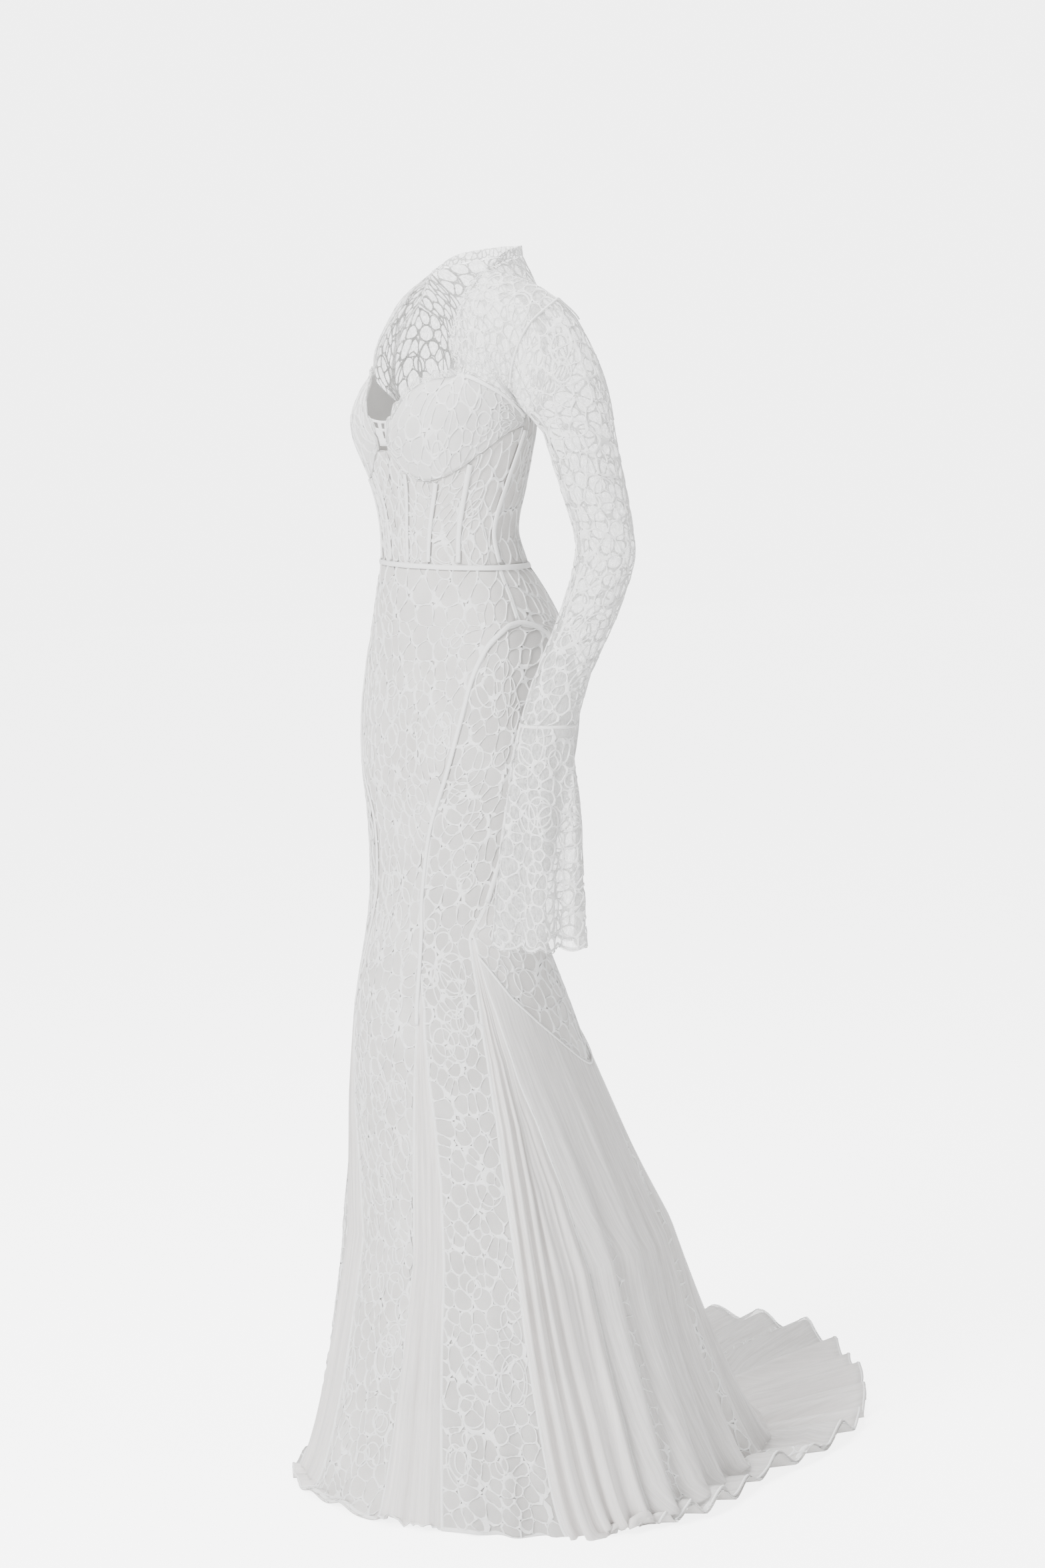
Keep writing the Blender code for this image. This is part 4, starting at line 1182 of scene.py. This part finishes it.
for name, columns, place in (("cup_edging", 27, lash(cup_edge, 9, cup_into)),
                             ("neck_edging", 30, lash(neck_line, 10, neck_into))):
    wall(name + "_left", columns, 1, place, TRIM_WALL * 0.5, NET, "trim", finer=(5, 4))
    wall(name + "_right", columns, 1, mirrored(place), TRIM_WALL * 0.5, NET, "trim",
         finer=(5, 4))


# Piping over the armhole seams and under the yoke

def armhole_piping(u, v):
    turn = -30.0 + 160.0 * u
    point = armhole(turn)
    ahead = (armhole(turn + 1.0) - armhole(turn - 1.0)).normalized()
    out = yoke_outward(point)
    side = ahead.cross(out).normalized()
    return point + side * (0.5 - v) * 0.003 + out * (TRIM_LIFT + TRIM_WALL + 0.0008)


def yoke_piping(u, v):
    angle = YOKE_ANGLE + 1.0 + (UNDERARM_ANGLE - 3.0 - YOKE_ANGLE) * u
    point = smooth_corset(angle, cup_top(angle) - 0.0015 - 0.005 * (1.0 - v))
    return point + corset_normal(angle, point.z) * (TRIM_LIFT + TRIM_WALL)


for name, columns, place in (("armhole_piping", 15, armhole_piping),
                             ("yoke_piping", 12, yoke_piping)):
    wall(name + "_left", columns, 1, place, TRIM_WALL, PIPING, "trim", finer=(5, 4), wave=rounded)
    wall(name + "_right", columns, 1, mirrored(place), TRIM_WALL, PIPING, "trim",
         finer=(5, 4), wave=rounded)

# Chiffon veils over the lace of the back panels, from below the seat to the hem

VEIL_TOP = ((0.0, 0.735), (0.25, 0.640), (0.55, 0.575), (0.80, 0.590), (1.0, 0.640))
VEIL_LIFT = 0.0035


def veil(sign):
    def place(u, v):
        side = u if sign > 0 else 1.0 - u
        level = read(VEIL_TOP, side, 1) * v
        start, end = seam(4, level), seam(5, level)
        return skirt(sign * (start + (end - start) * side), level, VEIL_LIFT)
    return place


for side, sign in (("left", 1.0), ("right", -1.0)):
    wall("veil_" + side, 60, 56, veil(sign), 0.0006, VEIL, "chiffon", wave=creased)


# Corded lace over every piece but the chiffon: size of a cell, how much taller than wide

LACES = (
    ("corset_front", 0.0165, 1.2, 8),
    ("corset_side", 0.0165, 1.6, 7),
    ("corset_back", 0.0180, 1.7, 10),
    ("cup", 0.0175, 1.1, 9),
    ("skirt_side", 0.0200, 1.25, 40),
    ("skirt_back", 0.0205, 1.3, 80),
    ("yoke_front", 0.0150, 1.2, 7),
    ("yoke_back", 0.0165, 1.3, 10),
    ("sleeve_outer", 0.0165, 1.25, 12),
    ("sleeve_inner", 0.0175, 1.3, 8),
    ("bell_outer", 0.0165, 1.25, 12),
    ("bell_inner", 0.0165, 1.25, 10),
)
EDGING_CELL = 0.0065
seed = 10
for name, size, stretch, rings_count in LACES:
    for side in ("left", "right"):
        seed += 1
        lace(name + "_" + side, size, stretch, seed)
        loops(name + "_" + side, rings_count, seed + 100)
lace("skirt_front", 0.0200, 1.3, 5)
loops("skirt_front", 70, 6)
lace("stand_collar", 0.0080, 1.0, 7, half=0.0009, rise=0.0008)
for side in ("left", "right"):
    for name in ("cup_edging", "neck_edging"):
        lace(name + "_" + side, EDGING_CELL, 1.0, 8, half=0.0008, rise=0.0007)


# Seams finished with a narrow cord, and the rolled hems of the chiffon

def straight(value):
    return lambda at: np.full(at.shape, value)


def along(at):
    return at


for name in ("skirt_front", "skirt_side_left", "skirt_side_right", "skirt_back_left",
             "skirt_back_right"):
    for label, edge in (("seam_1", 0.004), ("seam_2", 0.996)):
        if (name, label) not in (("skirt_back_left", "seam_2"), ("skirt_back_right", "seam_1")):
            rib(name, label, straight(edge), along)
    rib(name, "hem", along, straight(0.004), half=0.003)
rib("skirt_back_left", "back_seam", straight(0.997), along, half=0.0018)
for name in ("godet_front_left", "godet_front_right", "godet_side_left", "godet_side_right",
             "train_godet"):
    rib(name, "hem", along, straight(0.003), half=0.0016, rise=0.0012, count=400)
for side in ("left", "right"):
    rib("veil_" + side, "top", along, straight(0.995), half=0.0014, rise=0.0010)
    rib("veil_" + side, "hem", along, straight(0.004), half=0.0014, rise=0.0010)
    for half in ("outer", "inner"):
        rib("bell_" + half + "_" + side, "hem", along, straight(0.01), half=0.0016, rise=0.0014)
        rib("bell_" + half + "_" + side, "wrist", along, straight(0.99), half=0.0022)


# How each cloth is held, looked up by the first word of its name, passing over piping and edging

HELD_KINDS = {"corset": "draped", "cup": "stretched", "skirt": "hung", "godet": "gathered",
              "train": "gathered", "yoke": "stretched", "sleeve": "stretched", "bell": "hung",
              "stand": "draped", "v": "stretched", "veil": "hung"}
for name, piece in cloths.items():
    held = HELD_KINDS.get(name.split("_")[0])
    if held is None or "piping" in name or "edging" in name:
        continue


# Floor, light and camera

FLOOR = -HOLD_HEIGHT - 0.001
CAMERA_DISTANCE = 4.2
CAMERA_TURN = 59.0           # from the gown's front towards the wearer's left
CAMERA_HEIGHT = -0.05
PITCH = 7.04
LENS = 75.9
LIT_POINT = Vector((0.0, 0.15, -0.7))

away = Vector((-sin(radians(CAMERA_TURN)), cos(radians(CAMERA_TURN)), 0.0))
right = Vector((cos(radians(CAMERA_TURN)), sin(radians(CAMERA_TURN)), 0.0))
bm = bmesh.new()
bmesh.ops.create_grid(bm, x_segments=4, y_segments=4, size=14.0)
for vert in bm.verts:
    vert.co.z = FLOOR
mesh = bpy.data.meshes.new("floor")
bm.to_mesh(mesh)
bm.free()
mesh.shade_smooth()
floor = bpy.data.objects.new("floor", mesh)
bpy.context.scene.collection.objects.link(floor)
paper, paper_tree, paper_shader = node_tree("paper")
paper_noise = paper_tree.nodes.new("ShaderNodeTexNoise")
paper_noise.inputs["Scale"].default_value = 3.0
paper_ramp = paper_tree.nodes.new("ShaderNodeValToRGB")
paper_ramp.color_ramp.elements[0].color = (0.90, 0.90, 0.90, 1.0)
paper_ramp.color_ramp.elements[1].color = (0.92, 0.92, 0.92, 1.0)
paper_tree.links.new(paper_noise.outputs["Fac"], paper_ramp.inputs["Fac"])
paper_tree.links.new(paper_ramp.outputs["Color"], paper_shader.inputs["Base Color"])
paper_tree.links.new(paper_ramp.outputs["Color"], paper_shader.inputs["Emission Color"])
seen = paper_tree.nodes.new("ShaderNodeLightPath")
glow = paper_tree.nodes.new("ShaderNodeMapRange")
glow.inputs["To Min"].default_value = 0.35
glow.inputs["To Max"].default_value = 5.0
paper_tree.links.new(seen.outputs["Is Camera Ray"], glow.inputs["Value"])
paper_tree.links.new(glow.outputs["Result"], paper_shader.inputs["Emission Strength"])
paper_shader.inputs["Roughness"].default_value = 0.95
floor.data.materials.append(paper)


def soft_light(name, spot, power, size):
    lamp = bpy.data.lights.new(name, "AREA")
    lamp.energy = power
    lamp.size = size
    lamp.shape = "SQUARE"
    made = bpy.data.objects.new(name, lamp)
    bpy.context.scene.collection.objects.link(made)
    made.location = spot
    made.rotation_euler = (LIT_POINT - Vector(spot)).to_track_quat("-Z", "Y").to_euler()


soft_light("key", away * -3.2 - right * 2.6 + Vector((0.0, 0.0, 1.9)), 430.0, 1.5)
soft_light("fill", away * -2.6 + right * 3.2 + Vector((0.0, 0.0, 0.6)), 40.0, 2.6)
soft_light("top", away * 0.4 + Vector((0.0, 0.0, 2.8)), 190.0, 2.0)

world = bpy.data.worlds.new("studio")
bpy.context.scene.world = world
world.use_nodes = True
world.node_tree.nodes["Background"].inputs["Color"].default_value = (1.0, 1.0, 1.0, 1.0)
sky_seen = world.node_tree.nodes.new("ShaderNodeLightPath")
sky_glow = world.node_tree.nodes.new("ShaderNodeMapRange")
sky_glow.inputs["To Min"].default_value = 0.55
sky_glow.inputs["To Max"].default_value = 5.0
world.node_tree.links.new(sky_seen.outputs["Is Camera Ray"], sky_glow.inputs["Value"])
world.node_tree.links.new(sky_glow.outputs["Result"],
                          world.node_tree.nodes["Background"].inputs["Strength"])

camera = bpy.data.cameras.new("camera")
camera.lens = LENS
camera.sensor_width = 36.0
camera_object = bpy.data.objects.new("camera", camera)
bpy.context.scene.collection.objects.link(camera_object)
camera_object.location = away * -CAMERA_DISTANCE + Vector((0.052, 0.078, CAMERA_HEIGHT))
heading = away * cos(radians(PITCH)) - Vector((0.0, 0.0, sin(radians(PITCH))))
camera_object.rotation_euler = heading.to_track_quat("-Z", "Y").to_euler()
bpy.context.scene.camera = camera_object
